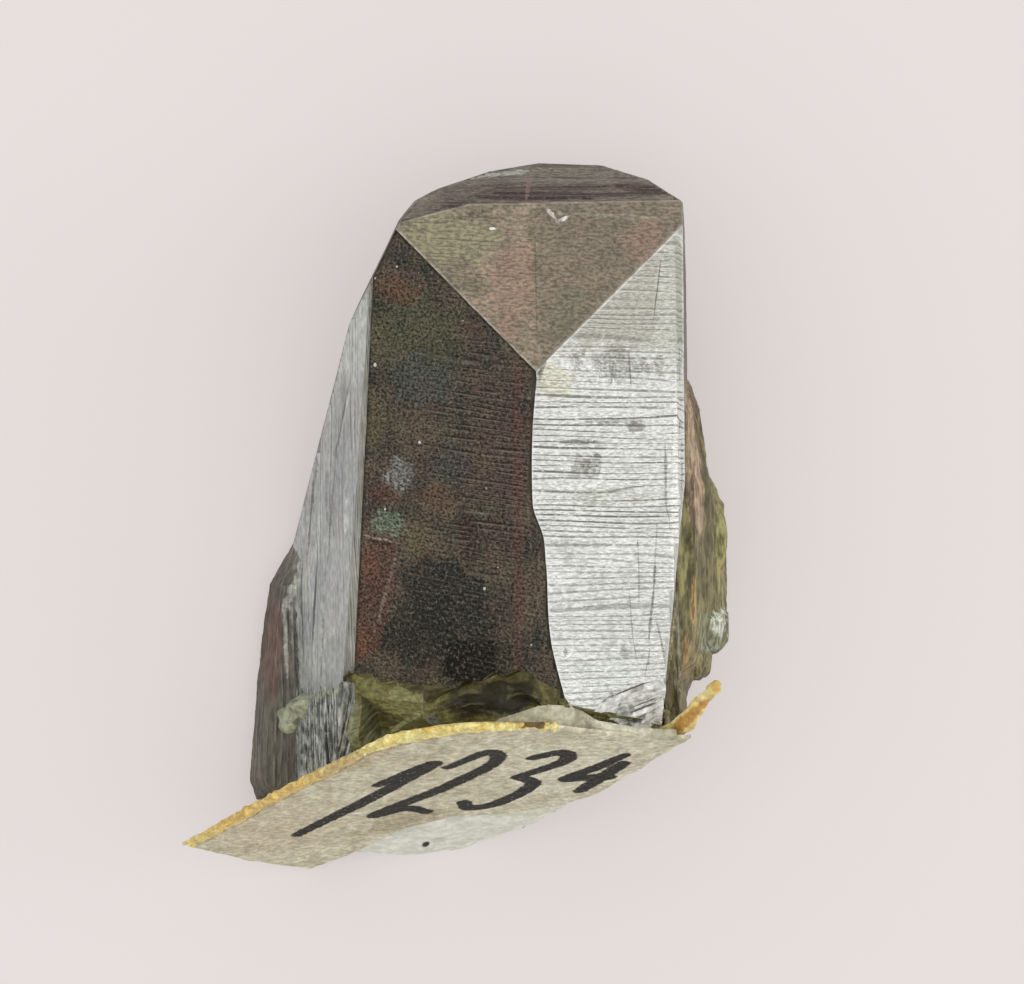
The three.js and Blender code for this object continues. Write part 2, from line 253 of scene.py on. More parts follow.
class Unevenness:
    """Smooth seeded noise in three dimensions, for whole arrays of points."""

    SIDE = 32

    def __init__(self, seed: int) -> None:
        """Fills the lattice.

        Args:
            seed: fixes the pattern.
        """
        shape = (self.SIDE,) * 3
        self.lattice = np.random.default_rng(seed).uniform(-1, 1, shape)

    def at(self, points: np.ndarray, scale: float | Sequence[float] = 1.0) -> np.ndarray:
        """The noise at some points.

        Args:
            points: an N by 3 array, in millimetres.
            scale: lattice cells per millimetre, one number or one for each axis.

        Returns:
            N numbers from -1 to 1.
        """
        spot = np.asarray(points, float) * scale
        cell = np.floor(spot).astype(int)
        part = spot - cell
        part = part * part * (3 - 2 * part)
        total = np.zeros(len(spot))
        for corner in np.ndindex(2, 2, 2):
            weight = np.prod(np.where(corner, part, 1 - part), axis=1)
            i, j, k = ((cell + corner) % self.SIDE).T
            total += weight * self.lattice[i, j, k]
        return total

    def layered(self, points: np.ndarray, scale: float | Sequence[float], layers: int = 4) -> np.ndarray:
        """Several octaves of the noise added up.

        Args:
            points: an N by 3 array, in millimetres.
            scale: lattice cells per millimetre of the coarsest octave.
            layers: how many octaves.

        Returns:
            N numbers, mostly from -1 to 1.
        """
        scales = np.asarray(scale, float)
        total = np.zeros(len(points))
        for layer in range(layers):
            total += self.at(points + 7.3 * layer, scales * 2**layer) / 2**layer
        return total / 1.5


def facets(points: np.ndarray, cell: float, tilt: float, seed: int) -> np.ndarray:
    """Heights of a surface that broke in small flat facets.

    Args:
        points: an N by 3 array, in millimetres.
        cell: the size of a facet.
        tilt: how steep the facets are, as a slope.
        seed: fixes the pattern.

    Returns:
        N heights in millimetres.
    """
    dice = np.random.default_rng(seed)
    low, high = points.min(axis=0), points.max(axis=0)
    count = int(np.clip(np.prod(np.sort(high - low)[1:]) / cell**2, 6, 120))
    centres = dice.uniform(low, high, (count, 3))
    slopes = dice.uniform(-tilt, tilt, (count, 3))
    total, weights = np.zeros(len(points)), np.full(len(points), 1e-12)
    for centre, slope in zip(centres, slopes):
        away = points - centre
        weight = (cell**2 / ((away**2).sum(axis=1) + 0.02 * cell**2)) ** 7
        total += weight * (away @ slope)
        weights += weight
    return total / weights


@dataclass
class StriationLines:
    """Straight parallel growth lines of a face, each with its own place, reach and depth.

    Attributes:
        seed: fixes the lines.
        pitch: mean distance between lines, in millimetres.
        low: where the lines begin, along the face's Y.
        high: where they end.
        reach: half of the face's width.
    """

    seed: int
    pitch: float
    low: float = -6.0
    high: float = 5.0
    reach: float = 3.0

    def depths(self, across: np.ndarray, along: np.ndarray) -> np.ndarray:
        """How deep the lines are at some places.

        Args:
            across: places along the lines, in millimetres.
            along: places across the lines.

        Returns:
            Depths from 0, the plain face, to about 1.
        """
        dice = np.random.default_rng(self.seed)
        depth = np.zeros(len(across))
        shelf = np.zeros(len(across))
        at = self.low
        while at < self.high:
            at += self.pitch * dice.uniform(0.35, 1.7)
            middle, half = dice.uniform(-self.reach, self.reach), dice.uniform(0.5, 2.6) * self.reach * 0.6
            width = self.pitch * dice.uniform(0.12, 0.26)
            strength = dice.uniform(0.3, 1.0)
            near = np.clip(1 - np.abs(along - at) / width, 0, 1)
            seen = np.clip((half - np.abs(across - middle)) / 0.4, 0, 1)
            depth = np.maximum(depth, near * seen * strength)
            shelf = np.where(along > at, dice.uniform(-0.25, 0.25), shelf)
        return depth + shelf


class Maker:
    """Mesh-making steps that every sub-assembly uses."""

    @staticmethod
    def shape(name: str, bm: bmesh.types.BMesh) -> bpy.types.Object:
        """Turns a bmesh into an object in the scene.

        Args:
            name: the object's name.
            bm: the mesh, which is freed.

        Returns:
            The new object, still in millimetres.
        """
        mesh = bpy.data.meshes.new(name)
        bm.to_mesh(mesh)
        bm.free()
        made = bpy.data.objects.new(name, mesh)
        bpy.context.scene.collection.objects.link(made)
        return made

    @staticmethod
    def baked(made: bpy.types.Object) -> bpy.types.Object:
        """Applies an object's modifiers.

        Args:
            made: the object.

        Returns:
            The same object, now a plain mesh.
        """
        bpy.context.view_layer.update()
        graph = bpy.context.evaluated_depsgraph_get()
        mesh = bpy.data.meshes.new_from_object(made.evaluated_get(graph))
        made.modifiers.clear()
        made.data = mesh
        mesh.name = made.name
        return made

    @staticmethod
    def without(body: bpy.types.Object, cutters: Iterable[bpy.types.Object]) -> bpy.types.Object:
        """Cuts solids out of a body and removes the cutters.

        Args:
            body: what is cut. Its material indices carry the face numbers.
            cutters: the solids.

        Returns:
            The body.
        """
        for cutter in cutters:
            step = body.modifiers.new("cut", "BOOLEAN")
            step.object, step.operation, step.solver = cutter, "DIFFERENCE", "EXACT"
            step.material_mode = "INDEX"
            Maker.baked(body)
            bpy.data.objects.remove(cutter)
        return body

    @staticmethod
    def convex(faces: Sequence[tuple[FlatFace, int]], size: float = 20.0) -> bmesh.types.BMesh:
        """A convex block bounded by flat faces.

        Args:
            faces: each face with the number that it gets as material index.
            size: side of the block that is cut.

        Returns:
            The block.
        """
        bm = bmesh.new()
        bmesh.ops.create_cube(bm, size=size, matrix=Matrix.Translation(HEART))
        for flat, number in faces:
            everything = bm.verts[:] + bm.edges[:] + bm.faces[:]
            cut = bmesh.ops.bisect_plane(
                bm, geom=everything, dist=1e-6, plane_co=flat.foot(), plane_no=flat.out(), clear_outer=True
            )
            rim = [e for e in cut["geom_cut"] if isinstance(e, bmesh.types.BMEdge)]
            if rim:
                for made in bmesh.ops.contextual_create(bm, geom=rim)["faces"]:
                    made.material_index = number
        bmesh.ops.recalc_face_normals(bm, faces=bm.faces)
        return bm

    @staticmethod
    def slab(outline: Outline, low: float, high: float, frame: Matrix, number: int = 0) -> bmesh.types.BMesh:
        """An outline drawn in a frame and raised along its Z.

        Args:
            outline: the corners.
            low: the slab's lower side.
            high: its upper side.
            frame: the frame that the outline is drawn in.
            number: the material index of all its faces.

        Returns:
            The closed slab.
        """
        bm = bmesh.new()
        corners = [bm.verts.new(frame @ Vector((x, y, low))) for x, y in outline]
        bottom = bm.faces.new(corners)
        raised = bmesh.ops.extrude_face_region(bm, geom=[bottom])["geom"]
        lift = frame.to_3x3() @ Vector((0, 0, high - low))
        bmesh.ops.translate(bm, vec=lift, verts=[v for v in raised if isinstance(v, bmesh.types.BMVert)])
        for made in bm.faces:
            made.material_index = number
        bmesh.ops.recalc_face_normals(bm, faces=bm.faces)
        return bm

    @staticmethod
    def lump(
        centre: Sequence[float],
        radii: Sequence[float],
        turn: float = 0.0,
        frame: Matrix | None = None,
        number: int = 0,
        rough: float = 0.0,
    ) -> bmesh.types.BMesh:
        """A rounded lump, or the hollow that it leaves.

        Args:
            centre: its middle.
            radii: its half sizes.
            turn: degrees about the frame's Z.
            frame: the frame that these are given in.
            number: the material index of its faces.
            rough: how uneven it is, as a share of its size.

        Returns:
            The closed lump.
        """
        bm = bmesh.new()
        bmesh.ops.create_icosphere(bm, subdivisions=4, radius=1.0)
        points = np.array([v.co for v in bm.verts])
        uneven = Unevenness(int(abs(centre[0] * 100)) + 5).layered(points, 1.3, 3)
        place = (
            (frame or Matrix.Identity(4))
            @ Matrix.Translation(centre)
            @ Matrix.Rotation(math.radians(turn), 4, "Z")
            @ Matrix.Diagonal((*radii, 1))
        )
        for vert, bump in zip(bm.verts, uneven):
            vert.co = place @ (vert.co * (1 + rough * bump))
        for made in bm.faces:
            made.material_index = number
        return bm

    @staticmethod
    def rule(bm: bmesh.types.BMesh, number: int, direction: Vector, spacing: float) -> None:
        """Cuts a numbered face into narrow rows, so that it can carry relief.

        Args:
            bm: the mesh.
            number: the material index of the face.
            direction: across the rows.
            spacing: the height of a row.
        """
        faces = [f for f in bm.faces if f.material_index == number]
        if not faces:
            return
        places = [v.co.dot(direction) for f in faces for v in f.verts]
        low, high = min(places), max(places)
        Maker.rule_between(bm, faces, direction, spacing, low, 1, int((high - low) / spacing))

    @staticmethod
    def rule_between(
        bm: bmesh.types.BMesh,
        faces: list[bmesh.types.BMFace],
        direction: Vector,
        spacing: float,
        low: float,
        first: int,
        end: int,
    ) -> None:
        """Cuts faces at the middle row of a range, then each half on its own.

        Args:
            bm: the mesh.
            faces: what is cut.
            direction: across the rows.
            spacing: the height of a row.
            low: where row 0 is.
            first: the first row of the range.
            end: the row after the last.
        """
        if first >= end or not faces:
            return
        middle = (first + end) // 2
        place = low + middle * spacing
        edges = {e for f in faces for e in f.edges}
        verts = {v for f in faces for v in f.verts}
        cut = bmesh.ops.bisect_plane(
            bm,
            geom=[*verts, *edges, *faces],
            dist=spacing * 0.02,
            plane_co=direction * place,
            plane_no=direction,
        )
        halves: tuple[list, list] = ([], [])
        for made in cut["geom"]:
            if isinstance(made, bmesh.types.BMFace):
                halves[made.calc_center_median().dot(direction) > place].append(made)
        Maker.rule_between(bm, halves[0], direction, spacing, low, first, middle)
        Maker.rule_between(bm, halves[1], direction, spacing, low, middle + 1, end)

    @staticmethod
    def softened(made: bpy.types.Object, times: int) -> bpy.types.Object:
        """Evens out an object's corners.

        Args:
            made: the object.
            times: how often the corners are evened out.

        Returns:
            The same object.
        """
        step = made.modifiers.new("soften", "SMOOTH")
        step.factor, step.iterations = 0.5, times
        return Maker.baked(made)

    @staticmethod
    def remeshed(made: bpy.types.Object, voxel: float) -> bpy.types.Object:
        """Turns overlapping closed parts into one even skin.

        Args:
            made: the object.
            voxel: the size of the skin's faces, in millimetres.

        Returns:
            The same object.
        """
        step = made.modifiers.new("skin", "REMESH")
        step.mode, step.voxel_size = "VOXEL", voxel
        return Maker.baked(made)

    @staticmethod
    def points(mesh: bpy.types.Mesh) -> np.ndarray:
        """The corners of a mesh as an N by 3 array."""
        co = np.zeros(len(mesh.vertices) * 3, np.float32)
        mesh.vertices.foreach_get("co", co)
        return co.reshape(-1, 3).astype(float)

    @staticmethod
    def normals(mesh: bpy.types.Mesh) -> np.ndarray:
        """The corner normals of a mesh as an N by 3 array."""
        found = np.zeros(len(mesh.vertices) * 3, np.float32)
        mesh.vertices.foreach_get("normal", found)
        return found.reshape(-1, 3).astype(float)

    @staticmethod
    def push(mesh: bpy.types.Mesh, points: np.ndarray) -> None:
        """Moves the corners of a mesh to new places."""
        mesh.vertices.foreach_set("co", points.astype(np.float32).ravel())
        mesh.update()

    @staticmethod
    def note(mesh: bpy.types.Mesh, name: str, values: np.ndarray) -> None:
        """Stores one number, or one vector, for each corner of a mesh.

        Args:
            mesh: the mesh.
            name: the attribute's name.
            values: N numbers or an N by 3 array.
        """
        kind, key = ("FLOAT_VECTOR", "vector") if values.ndim == 2 else ("FLOAT", "value")
        attribute = mesh.attributes.new(name, kind, "POINT")
        attribute.data.foreach_set(key, values.astype(np.float32).ravel())

    @staticmethod
    def finish(
        made: bpy.types.Object, shift: Vector, skins: Sequence[bpy.types.Material], sharp: float = 28.0
    ) -> bpy.types.Object:
        """Smooths and dresses an object and lays it into the row's frame.

        Args:
            made: the object, in millimetres.
            shift: from the maker's frame to the row's, in millimetres.
            skins: its materials.
            sharp: degrees above which an edge stays sharp.

        Returns:
            The same object.
        """
        mesh = made.data
        mesh.shade_smooth()
        if sharp < 180:
            mesh.set_sharp_from_angle(angle=math.radians(sharp))
        indices = [p.material_index for p in mesh.polygons]
        mesh.materials.clear()
        for skin in skins:
            mesh.materials.append(skin)
        last = len(skins) - 1
        mesh.polygons.foreach_set("material_index", [min(i, last) for i in indices])
        mesh.transform(Matrix.Scale(MM, 4) @ Matrix.Translation(shift))
        mesh.update()
        return made


@dataclass
class MainCrystal:
    """The stubby prism with its sloping roof, worked face by face."""

    lines_seed: int = 11
    faces: tuple[CrystalFace, ...] = FACES

    def block(self) -> bmesh.types.BMesh:
        """The crystal's flat faces alone."""
        return Maker.convex([(face.flat, i) for i, face in enumerate(self.faces)])

    def hollow_frame(self) -> Matrix:
        """The frame of the wheel that hollows the front right face, with Y along its axle."""
        x, y = HOLLOW_CENTRE
        return FRONT_RIGHT.frame() @ Matrix.Translation((x, y, HOLLOW_RADIUS - HOLLOW_SAG))

    def hollow_wheel(self) -> bpy.types.Object:
        """The wheel itself, as a cutter."""
        bm = bmesh.new()
        steps = np.linspace(-4.0, 4.0, 81)
        outline = np.stack([np.zeros_like(steps), steps, self.wheel_radius(steps)], axis=1)
        rings = [bm.verts.new(p) for p in outline]
        edges = [bm.edges.new(pair) for pair in zip(rings, rings[1:])]
        spun = {"geom": rings + edges, "axis": (0, 1, 0), "steps": 256, "angle": math.tau, "use_merge": True}
        bmesh.ops.spin(bm, cent=(0, 0, 0), **spun)
        bmesh.ops.holes_fill(bm, edges=[e for e in bm.edges if e.is_boundary], sides=0)
        bmesh.ops.recalc_face_normals(bm, faces=bm.faces)
        bmesh.ops.transform(bm, matrix=self.hollow_frame(), verts=bm.verts)
        for made in bm.faces:
            made.material_index = SILVER_INDEX
        return Maker.shape("hollow", bm)

    @staticmethod
    def wheel_radius(along: np.ndarray) -> np.ndarray:
        """The wheel's radius at places along its axle, smaller where the low ridge is."""
        upper = np.clip(along / 0.7, 0, 1)
        lower = np.clip((along + 2.0) / 1.8, 0, 1)
        ridge = RIDGE * (1 - upper**2 * (3 - 2 * upper)) * lower**2 * (3 - 2 * lower)
        return np.sqrt(HOLLOW_RADIUS**2 - along**2) - ridge

    def outside_wheel(self, points: np.ndarray) -> tuple[np.ndarray, np.ndarray]:
        """How far points are outside the wheel, and the way outwards from its axle.

        Args:
            points: an N by 3 array, in millimetres.

        Returns:
            N distances and N unit vectors.
        """
        frame = self.hollow_frame()
        away = points - np.array(frame.translation)
        axle = np.array(frame.col[1].to_3d())
        along = away @ axle
        spoke = away - np.outer(along, axle)
        radius = np.linalg.norm(spoke, axis=1)
        ideal = self.wheel_radius(np.clip(along, -4, 4))
        return radius - ideal, spoke / radius[:, None]

    def fracture(self) -> bpy.types.Object:
        """The wedge that leaves the slanting fracture at the foot of the front left face."""
        inward = FlatFace(CUT_FACE.flat.azimuth + 180, -CUT_FACE.flat.rise, -CUT_FACE.flat.distance)
        left = FlatFace(50 + 180, 0, 1.84)
        return Maker.shape("fracture", Maker.convex([(inward, CUT_INDEX), (left, CUT_INDEX)], 24.0))

    def corner(self) -> list[bpy.types.Object]:
        """The broken steps at the lower right corner and the hollows beside the fracture."""
        right, front = FRONT_RIGHT.frame(), FRONT_LEFT.frame()
        shapes = [
            Maker.slab((*FOOT_EDGE, (3.04, -5.0), (-2.16, -5.0)), -0.2, 0.4, front, CUT_INDEX),
            Maker.lump([1.0, -3.45, 5.5], [0.85, 0.34, 0.42], -8, None, CUT_INDEX, 0.25),
            *(Maker.slab(outline, -depth, 0.3, right, CHIP_INDEX) for outline, depth in CORNER_STEPS),
            Maker.lump([0.1, -4.1, 0.05], [0.32, 0.2, 0.16], 15, right, CUT_INDEX, 0.3),
        ]
        return [Maker.shape(f"corner_{i}", bm) for i, bm in enumerate(shapes)]

    def build(self) -> bpy.types.Object:
        """Cuts the crystal, rules its faces and works their relief."""
        body = Maker.shape("main_crystal", self.block())
        for number in range(CHIP_INDEX + 1):
            body.data.materials.append(bpy.data.materials.new(f"{UNDRESSED}{number}"))
        Maker.without(body, [self.hollow_wheel(), self.fracture(), *self.corner()])
        bm = bmesh.new()
        bm.from_mesh(body.data)
        bmesh.ops.remove_doubles(bm, verts=bm.verts, dist=1e-4)
        numbered = list(enumerate([*self.faces, CUT_FACE, CHIP_FACE]))
        for number, face in numbered:
            Maker.rule(bm, number, face.flat.frame(face.relief.fall).col[1].to_3d(), face.relief.row)
        for number, face in sorted(numbered, key=lambda pair: pair[1].relief.column):
            Maker.rule(bm, number, face.flat.frame(face.relief.fall).col[0].to_3d(), face.relief.column)
        bm.to_mesh(body.data)
        bm.free()
        self.work(body.data)
        return body

    def work(self, mesh: bpy.types.Mesh) -> None:
        """Gives every face its relief, and notes the grain and the distance to the edges.

        Args:
            mesh: the ruled mesh, in millimetres.
        """
        points = Maker.points(mesh)
        owner = np.full(len(points), -1)
        shared = np.zeros(len(points), bool)
        for polygon in mesh.polygons:
            for vertex in polygon.vertices:
                shared[vertex] |= owner[vertex] not in (-1, polygon.material_index)
                owner[vertex] = polygon.material_index
        past, spoke = self.outside_wheel(points)
        hollow = (owner == SILVER_INDEX) & (np.abs(past) < 0.004)
        points[hollow] -= spoke[hollow] * past[hollow, None]
        rim = self.rim(points, owner)
        grain = np.zeros_like(points)
        moved = points.copy()
        swell, grit = Unevenness(3), Unevenness(4)
        for number, face in enumerate([*self.faces, CUT_FACE, CHIP_FACE]):
            mine = owner == number
            if not mine.any():
                continue
            relief = face.relief
            frame = face.flat.frame(relief.fall)
            local = (points[mine] - np.array(frame.translation)) @ np.array(frame.to_3x3())
            grain[mine] = local
            height = relief.swell * swell.layered(points[mine], 0.8, 2)
            height += relief.grit * grit.layered(points[mine], 9.0, 2)
            if relief.ledge:
                lines = StriationLines(self.lines_seed + number, relief.pitch)
                height -= relief.ledge * lines.depths(local[:, 0], local[:, 1])
            height += self.marks(face.skin, local)
            if number == CUT_INDEX:
                height += facets(points[mine], 0.5, 0.42, number)
            hold = np.where(shared[mine], 0.25, np.clip(rim[mine] / 0.06, 0.3, 1))
            moved[mine] += np.outer(height * hold, np.array(face.flat.out()))
        moved += self.chips(points, rim)
        moved[:, 2] = np.maximum(moved[:, 2], 0)
        Maker.push(mesh, moved)
        Maker.note(mesh, "grain", grain)
        Maker.note(mesh, "rim", rim)

    def marks(self, skin: Skin, local: np.ndarray) -> np.ndarray:
        """The single marks of a face: the twin seam, the chipped notch and the streaks of the left side.

        Args:
            skin: which face.
            local: places in the face's frame.

        Returns:
            Heights in millimetres.
        """
        across, along = local[:, 0], local[:, 1]
        height = np.zeros(len(local))
        if skin is Skin.ROOF:
            seam = distance_to(across, along, 0.89, -0.24, 0.6, 3.55)
            height -= 0.012 * np.clip(1 - seam / 0.04, 0, 1)
            for x0, y0, x1, y1 in ((0.78, 3.46, 1.03, 3.2), (1.03, 3.2, 1.29, 3.08), (1.03, 3.2, 1.18, 3.49)):
                height -= 0.04 * np.clip(1 - distance_to(across, along, x0, y0, x1, y1) / 0.06, 0, 1)
        if skin in (Skin.GREY, Skin.STRIP):
            streaks = Unevenness(21).layered(local, (7.0, 0.35, 0.0), 3)
            height += 0.03 * streaks
            furrows = ((-2.2, 2.1, -3.0, -2.9), (-1.9, 0.4, -2.35, -3.1), (-3.2, -0.9, -3.6, -3.4))
            for x0, y0, x1, y1 in furrows:
                height -= 0.05 * np.clip(1 - distance_to(across, along, x0, y0, x1, y1) / 0.06, 0, 1)
        return height

    def rim(self, points: np.ndarray, owner: np.ndarray) -> np.ndarray:
        """How far each point of a face lies from the face's edges.

        Args:
            points: all points, in millimetres.
            owner: the number of the face that each lies on.

        Returns:
            Distances in millimetres.
        """
        outs = np.array([face.flat.out() for face in self.faces])
        feet = np.array([face.flat.distance + HEART.dot(face.flat.out()) for face in self.faces])
        inside = feet[None, :] - points @ outs.T
        rim = np.full(len(points), 9.0)
        for number in range(len(self.faces)):
            mine = owner == number
            if not mine.any():
                continue
            sine = np.sqrt(np.clip(1 - (outs @ outs[number]) ** 2, 1e-3, 1))
            reach = np.delete(inside[mine] / sine, number, axis=1)
            rim[mine] = np.clip(reach.min(axis=1), 0, 9)
        past, _ = self.outside_wheel(points)
        dark = owner == DARK_INDEX
        rim[dark] = np.minimum(rim[dark], np.clip(past[dark] / 0.95, 0, 9))
        silver = owner == SILVER_INDEX
        to_dark = (feet[DARK_INDEX] - points[silver] @ outs[DARK_INDEX]) / 0.95
        rim[silver] = np.minimum(rim[silver], np.clip(to_dark, 0, 9))
        return rim

    def chips(self, points: np.ndarray, rim: np.ndarray) -> np.ndarray:
        """Small chips and worn places along the edges.

        Args:
            points: all points, in millimetres.
            rim: their distances to the edges.

        Returns:
            How far each point moves.
        """
        noise = Unevenness(8)
        bite = np.clip(noise.layered(points, 2.4, 3) - 0.35, 0, 1) * 0.05 + 0.006
        near = np.clip(1 - rim / 0.05, 0, 1)
        inward = np.array(HEART) - points
        inward /= np.linalg.norm(inward, axis=1)[:, None]
        return inward * (bite * near)[:, None]


def distance_to(x: np.ndarray, y: np.ndarray, x0: float, y0: float, x1: float, y1: float) -> np.ndarray:
    """Distances from places to a straight stroke.

    Args:
        x: the places' first coordinate.
        y: the places' second coordinate.
        x0: the stroke's start.
        y0: the stroke's start.
        x1: the stroke's end.
        y1: the stroke's end.

    Returns:
        One distance for each place.
    """
    dx, dy = x1 - x0, y1 - y0
    share = np.clip(((x - x0) * dx + (y - y0) * dy) / (dx * dx + dy * dy), 0, 1)
    return np.hypot(x - x0 - share * dx, y - y0 - share * dy)


def smooth_path(corners: Outline, steps: int = 6) -> np.ndarray:
    """A smooth line through some corners.

    Args:
        corners: the corners, in order.
        steps: points for each stretch between two corners.

    Returns:
        The points as an N by 2 array.
    """
    ends = [corners[0], *corners, corners[-1]]
    spots = []
    for a, b, c, d in zip(ends, ends[1:], ends[2:], ends[3:]):
        a, b, c, d = (np.array(p, float) for p in (a, b, c, d))
        for share in np.linspace(0, 1, steps, endpoint=False):
            curve = 2 * b + (c - a) * share
            curve = curve + (2 * a - 5 * b + 4 * c - d) * share**2 + (3 * b - a - 3 * c + d) * share**3
            spots.append(curve / 2)
    spots.append(np.array(corners[-1], float))
    return np.array(spots)


def torn(outline: Outline, step: float, ragged: float, seed: int) -> list[tuple[float, float]]:
    """An outline with its straight stretches made uneven, as a torn edge is.

    Args:
        outline: the corners.
        step: distance between the new corners, in millimetres.
        ragged: how far they stray inwards.
        seed: fixes the pattern.

    Returns:
        The new corners.
    """
    spots: list[np.ndarray] = []
    for a, b in zip(outline, [*outline[1:], outline[0]]):
        start, end = np.array(a, float), np.array(b, float)
        count = max(1, round(float(np.linalg.norm(end - start)) / step))
        spots.extend(start + (end - start) * k / count for k in range(count))
    flat = np.array([[x, y, 0.0] for x, y in spots])
    noise = Unevenness(seed)
    shift = noise.layered(flat, 2.2, 4) + 0.5 * noise.at(flat, 11.0)
    before, after = np.roll(flat, 1, axis=0), np.roll(flat, -1, axis=0)
    along = after - before
    along /= np.linalg.norm(along, axis=1)[:, None]
    turn = sum(a[0] * b[1] - b[0] * a[1] for a, b in zip(outline, [*outline[1:], outline[0]]))
    inward = np.stack([-along[:, 1], along[:, 0]], 1) * (1 if turn > 0 else -1)
    moved = flat[:, :2] + inward * (ragged * (0.5 + 0.5 * shift))[:, None]
    return [(float(x), float(y)) for x, y in moved]


def inset(outline: Outline, width: float) -> list[tuple[float, float]]:
    """An outline moved inwards by a width."""
    turn = sum(a[0] * b[1] - b[0] * a[1] for a, b in zip(outline, [*outline[1:], outline[0]]))
    side = 1 if turn > 0 else -1
    spots = []
    for a, b, c in zip([outline[-1], *outline[:-1]], outline, [*outline[1:], outline[0]]):
        first = Vector((b[0] - a[0], b[1] - a[1])).normalized()
        second = Vector((c[0] - b[0], c[1] - b[1])).normalized()
        n1, n2 = Vector((-first.y, first.x)) * side, Vector((-second.y, second.x)) * side
        shift = (n1 + n2) / max(0.5, 1 + n1.dot(n2)) * width
        spots.append((b[0] + shift.x, b[1] + shift.y))
    return spots


def closed_sheet(
    outline: Outline,
    spacing: float,
    top: Callable[[np.ndarray], np.ndarray],
    bottom: Callable[[np.ndarray], np.ndarray],
    frame: Matrix,
) -> bmesh.types.BMesh:
    """A closed sheet over an outline, with a mesh fine enough for creases.

    Args:
        outline: the corners, drawn in the frame.
        spacing: the size of its faces.
        top: gives the heights of the upper side at an N by 3 array of places.
        bottom: gives the heights of the lower side.
        frame: the frame that the sheet lies in.

    Returns:
        The sheet.
    """
    bm = bmesh.new()
    bm.faces.new([bm.verts.new((x, y, 0)) for x, y in outline])
    for direction in (Vector((1, 0, 0)), Vector((0, 1, 0))):
        Maker.rule(bm, 0, direction, spacing)
    bmesh.ops.recalc_face_normals(bm, faces=bm.faces)
    upper, faces = list(bm.verts), list(bm.faces)
    if faces[0].normal.z < 0:
        bmesh.ops.reverse_faces(bm, faces=faces)
    rim = [loop for face in faces for loop in face.loops if loop.edge.is_boundary]
    edges = [(loop.vert, loop.link_loop_next.vert) for loop in rim]
    lower = {v: bm.verts.new(v.co) for v in upper}
    for face in faces:
        bm.faces.new([lower[v] for v in reversed(face.verts)])
    for a, b in edges:
        bm.faces.new((b, a, lower[a], lower[b]))
    flat = np.array([v.co for v in upper])
    for verts, heights in ((upper, top(flat)), ([lower[v] for v in upper], bottom(flat))):
        for vert, (x, y, _), height in zip(verts, flat, heights):
            vert.co = frame @ Vector((x, y, height))
    return bm


def blank(outline: Outline, low: float, high: float, width: float, depth: float) -> bmesh.types.BMesh:
    """A crystal blank: an outline in XY whose lower and upper edges slope in.

    Args:
        outline: the corners.
        low: its lower side.
        high: its upper side.
        width: how far the slopes reach inwards.
        depth: how far they reach down or up.

    Returns:
        The closed blank.
    """
    bm = bmesh.new()
    small = inset(outline, width)
    layers = ((small, low), (outline, low + depth), (outline, high - depth), (small, high))
    rings = [[bm.verts.new((x, y, z)) for x, y in corners] for corners, z in layers]
    for lower, upper in zip(rings, rings[1:]):
        for i in range(len(outline)):
            j = (i + 1) % len(outline)
            bm.faces.new((lower[i], lower[j], upper[j], upper[i]))
    bm.faces.new(rings[0])
    bm.faces.new(rings[-1])
    bmesh.ops.recalc_face_normals(bm, faces=bm.faces)
    return bm


def gathered(name: str, parts: Iterable[bmesh.types.BMesh]) -> bpy.types.Object:
    """Several closed parts as one object.

    Args:
        name: the object's name.
        parts: the parts, which are freed.

    Returns:
        The object.
    """
    whole = bmesh.new()
    for part in parts:
        mesh = bpy.data.meshes.new("part")
        part.to_mesh(mesh)
        part.free()
        whole.from_mesh(mesh)
        bpy.data.meshes.remove(mesh)
    return Maker.shape(name, whole)


def roughen(
    made: bpy.types.Object,
    seed: int,
    layers: Sequence[tuple[float, float | Sequence[float]]],
    frame: Matrix | None = None,
) -> bpy.types.Object:
    """Moves a skin's corners along their normals by noise.

    Args:
        made: the object.
        seed: fixes the noise.
        layers: pairs of height in millimetres and lattice cells per millimetre along the frame's axes.
        frame: the frame whose axes the noise follows.

    Returns:
        The same object, with its places in that frame noted as grain.
    """
    mesh = made.data
    points, normals = Maker.points(mesh), Maker.normals(mesh)
    turn = (frame or Matrix.Identity(4)).to_3x3()
    local = (points - np.array((frame or Matrix.Identity(4)).translation)) @ np.array(turn)
    height = np.zeros(len(points))
    for index, (size, scale) in enumerate(layers):
        height += size * Unevenness(seed + index).layered(local, scale, 3)
    moved = points + normals * height[:, None]
    moved[:, 2] = np.maximum(moved[:, 2], 0)
    Maker.push(mesh, moved)
    Maker.note(mesh, "grain", local)
    Maker.note(mesh, "rim", np.full(len(points), 9.0))
    return made


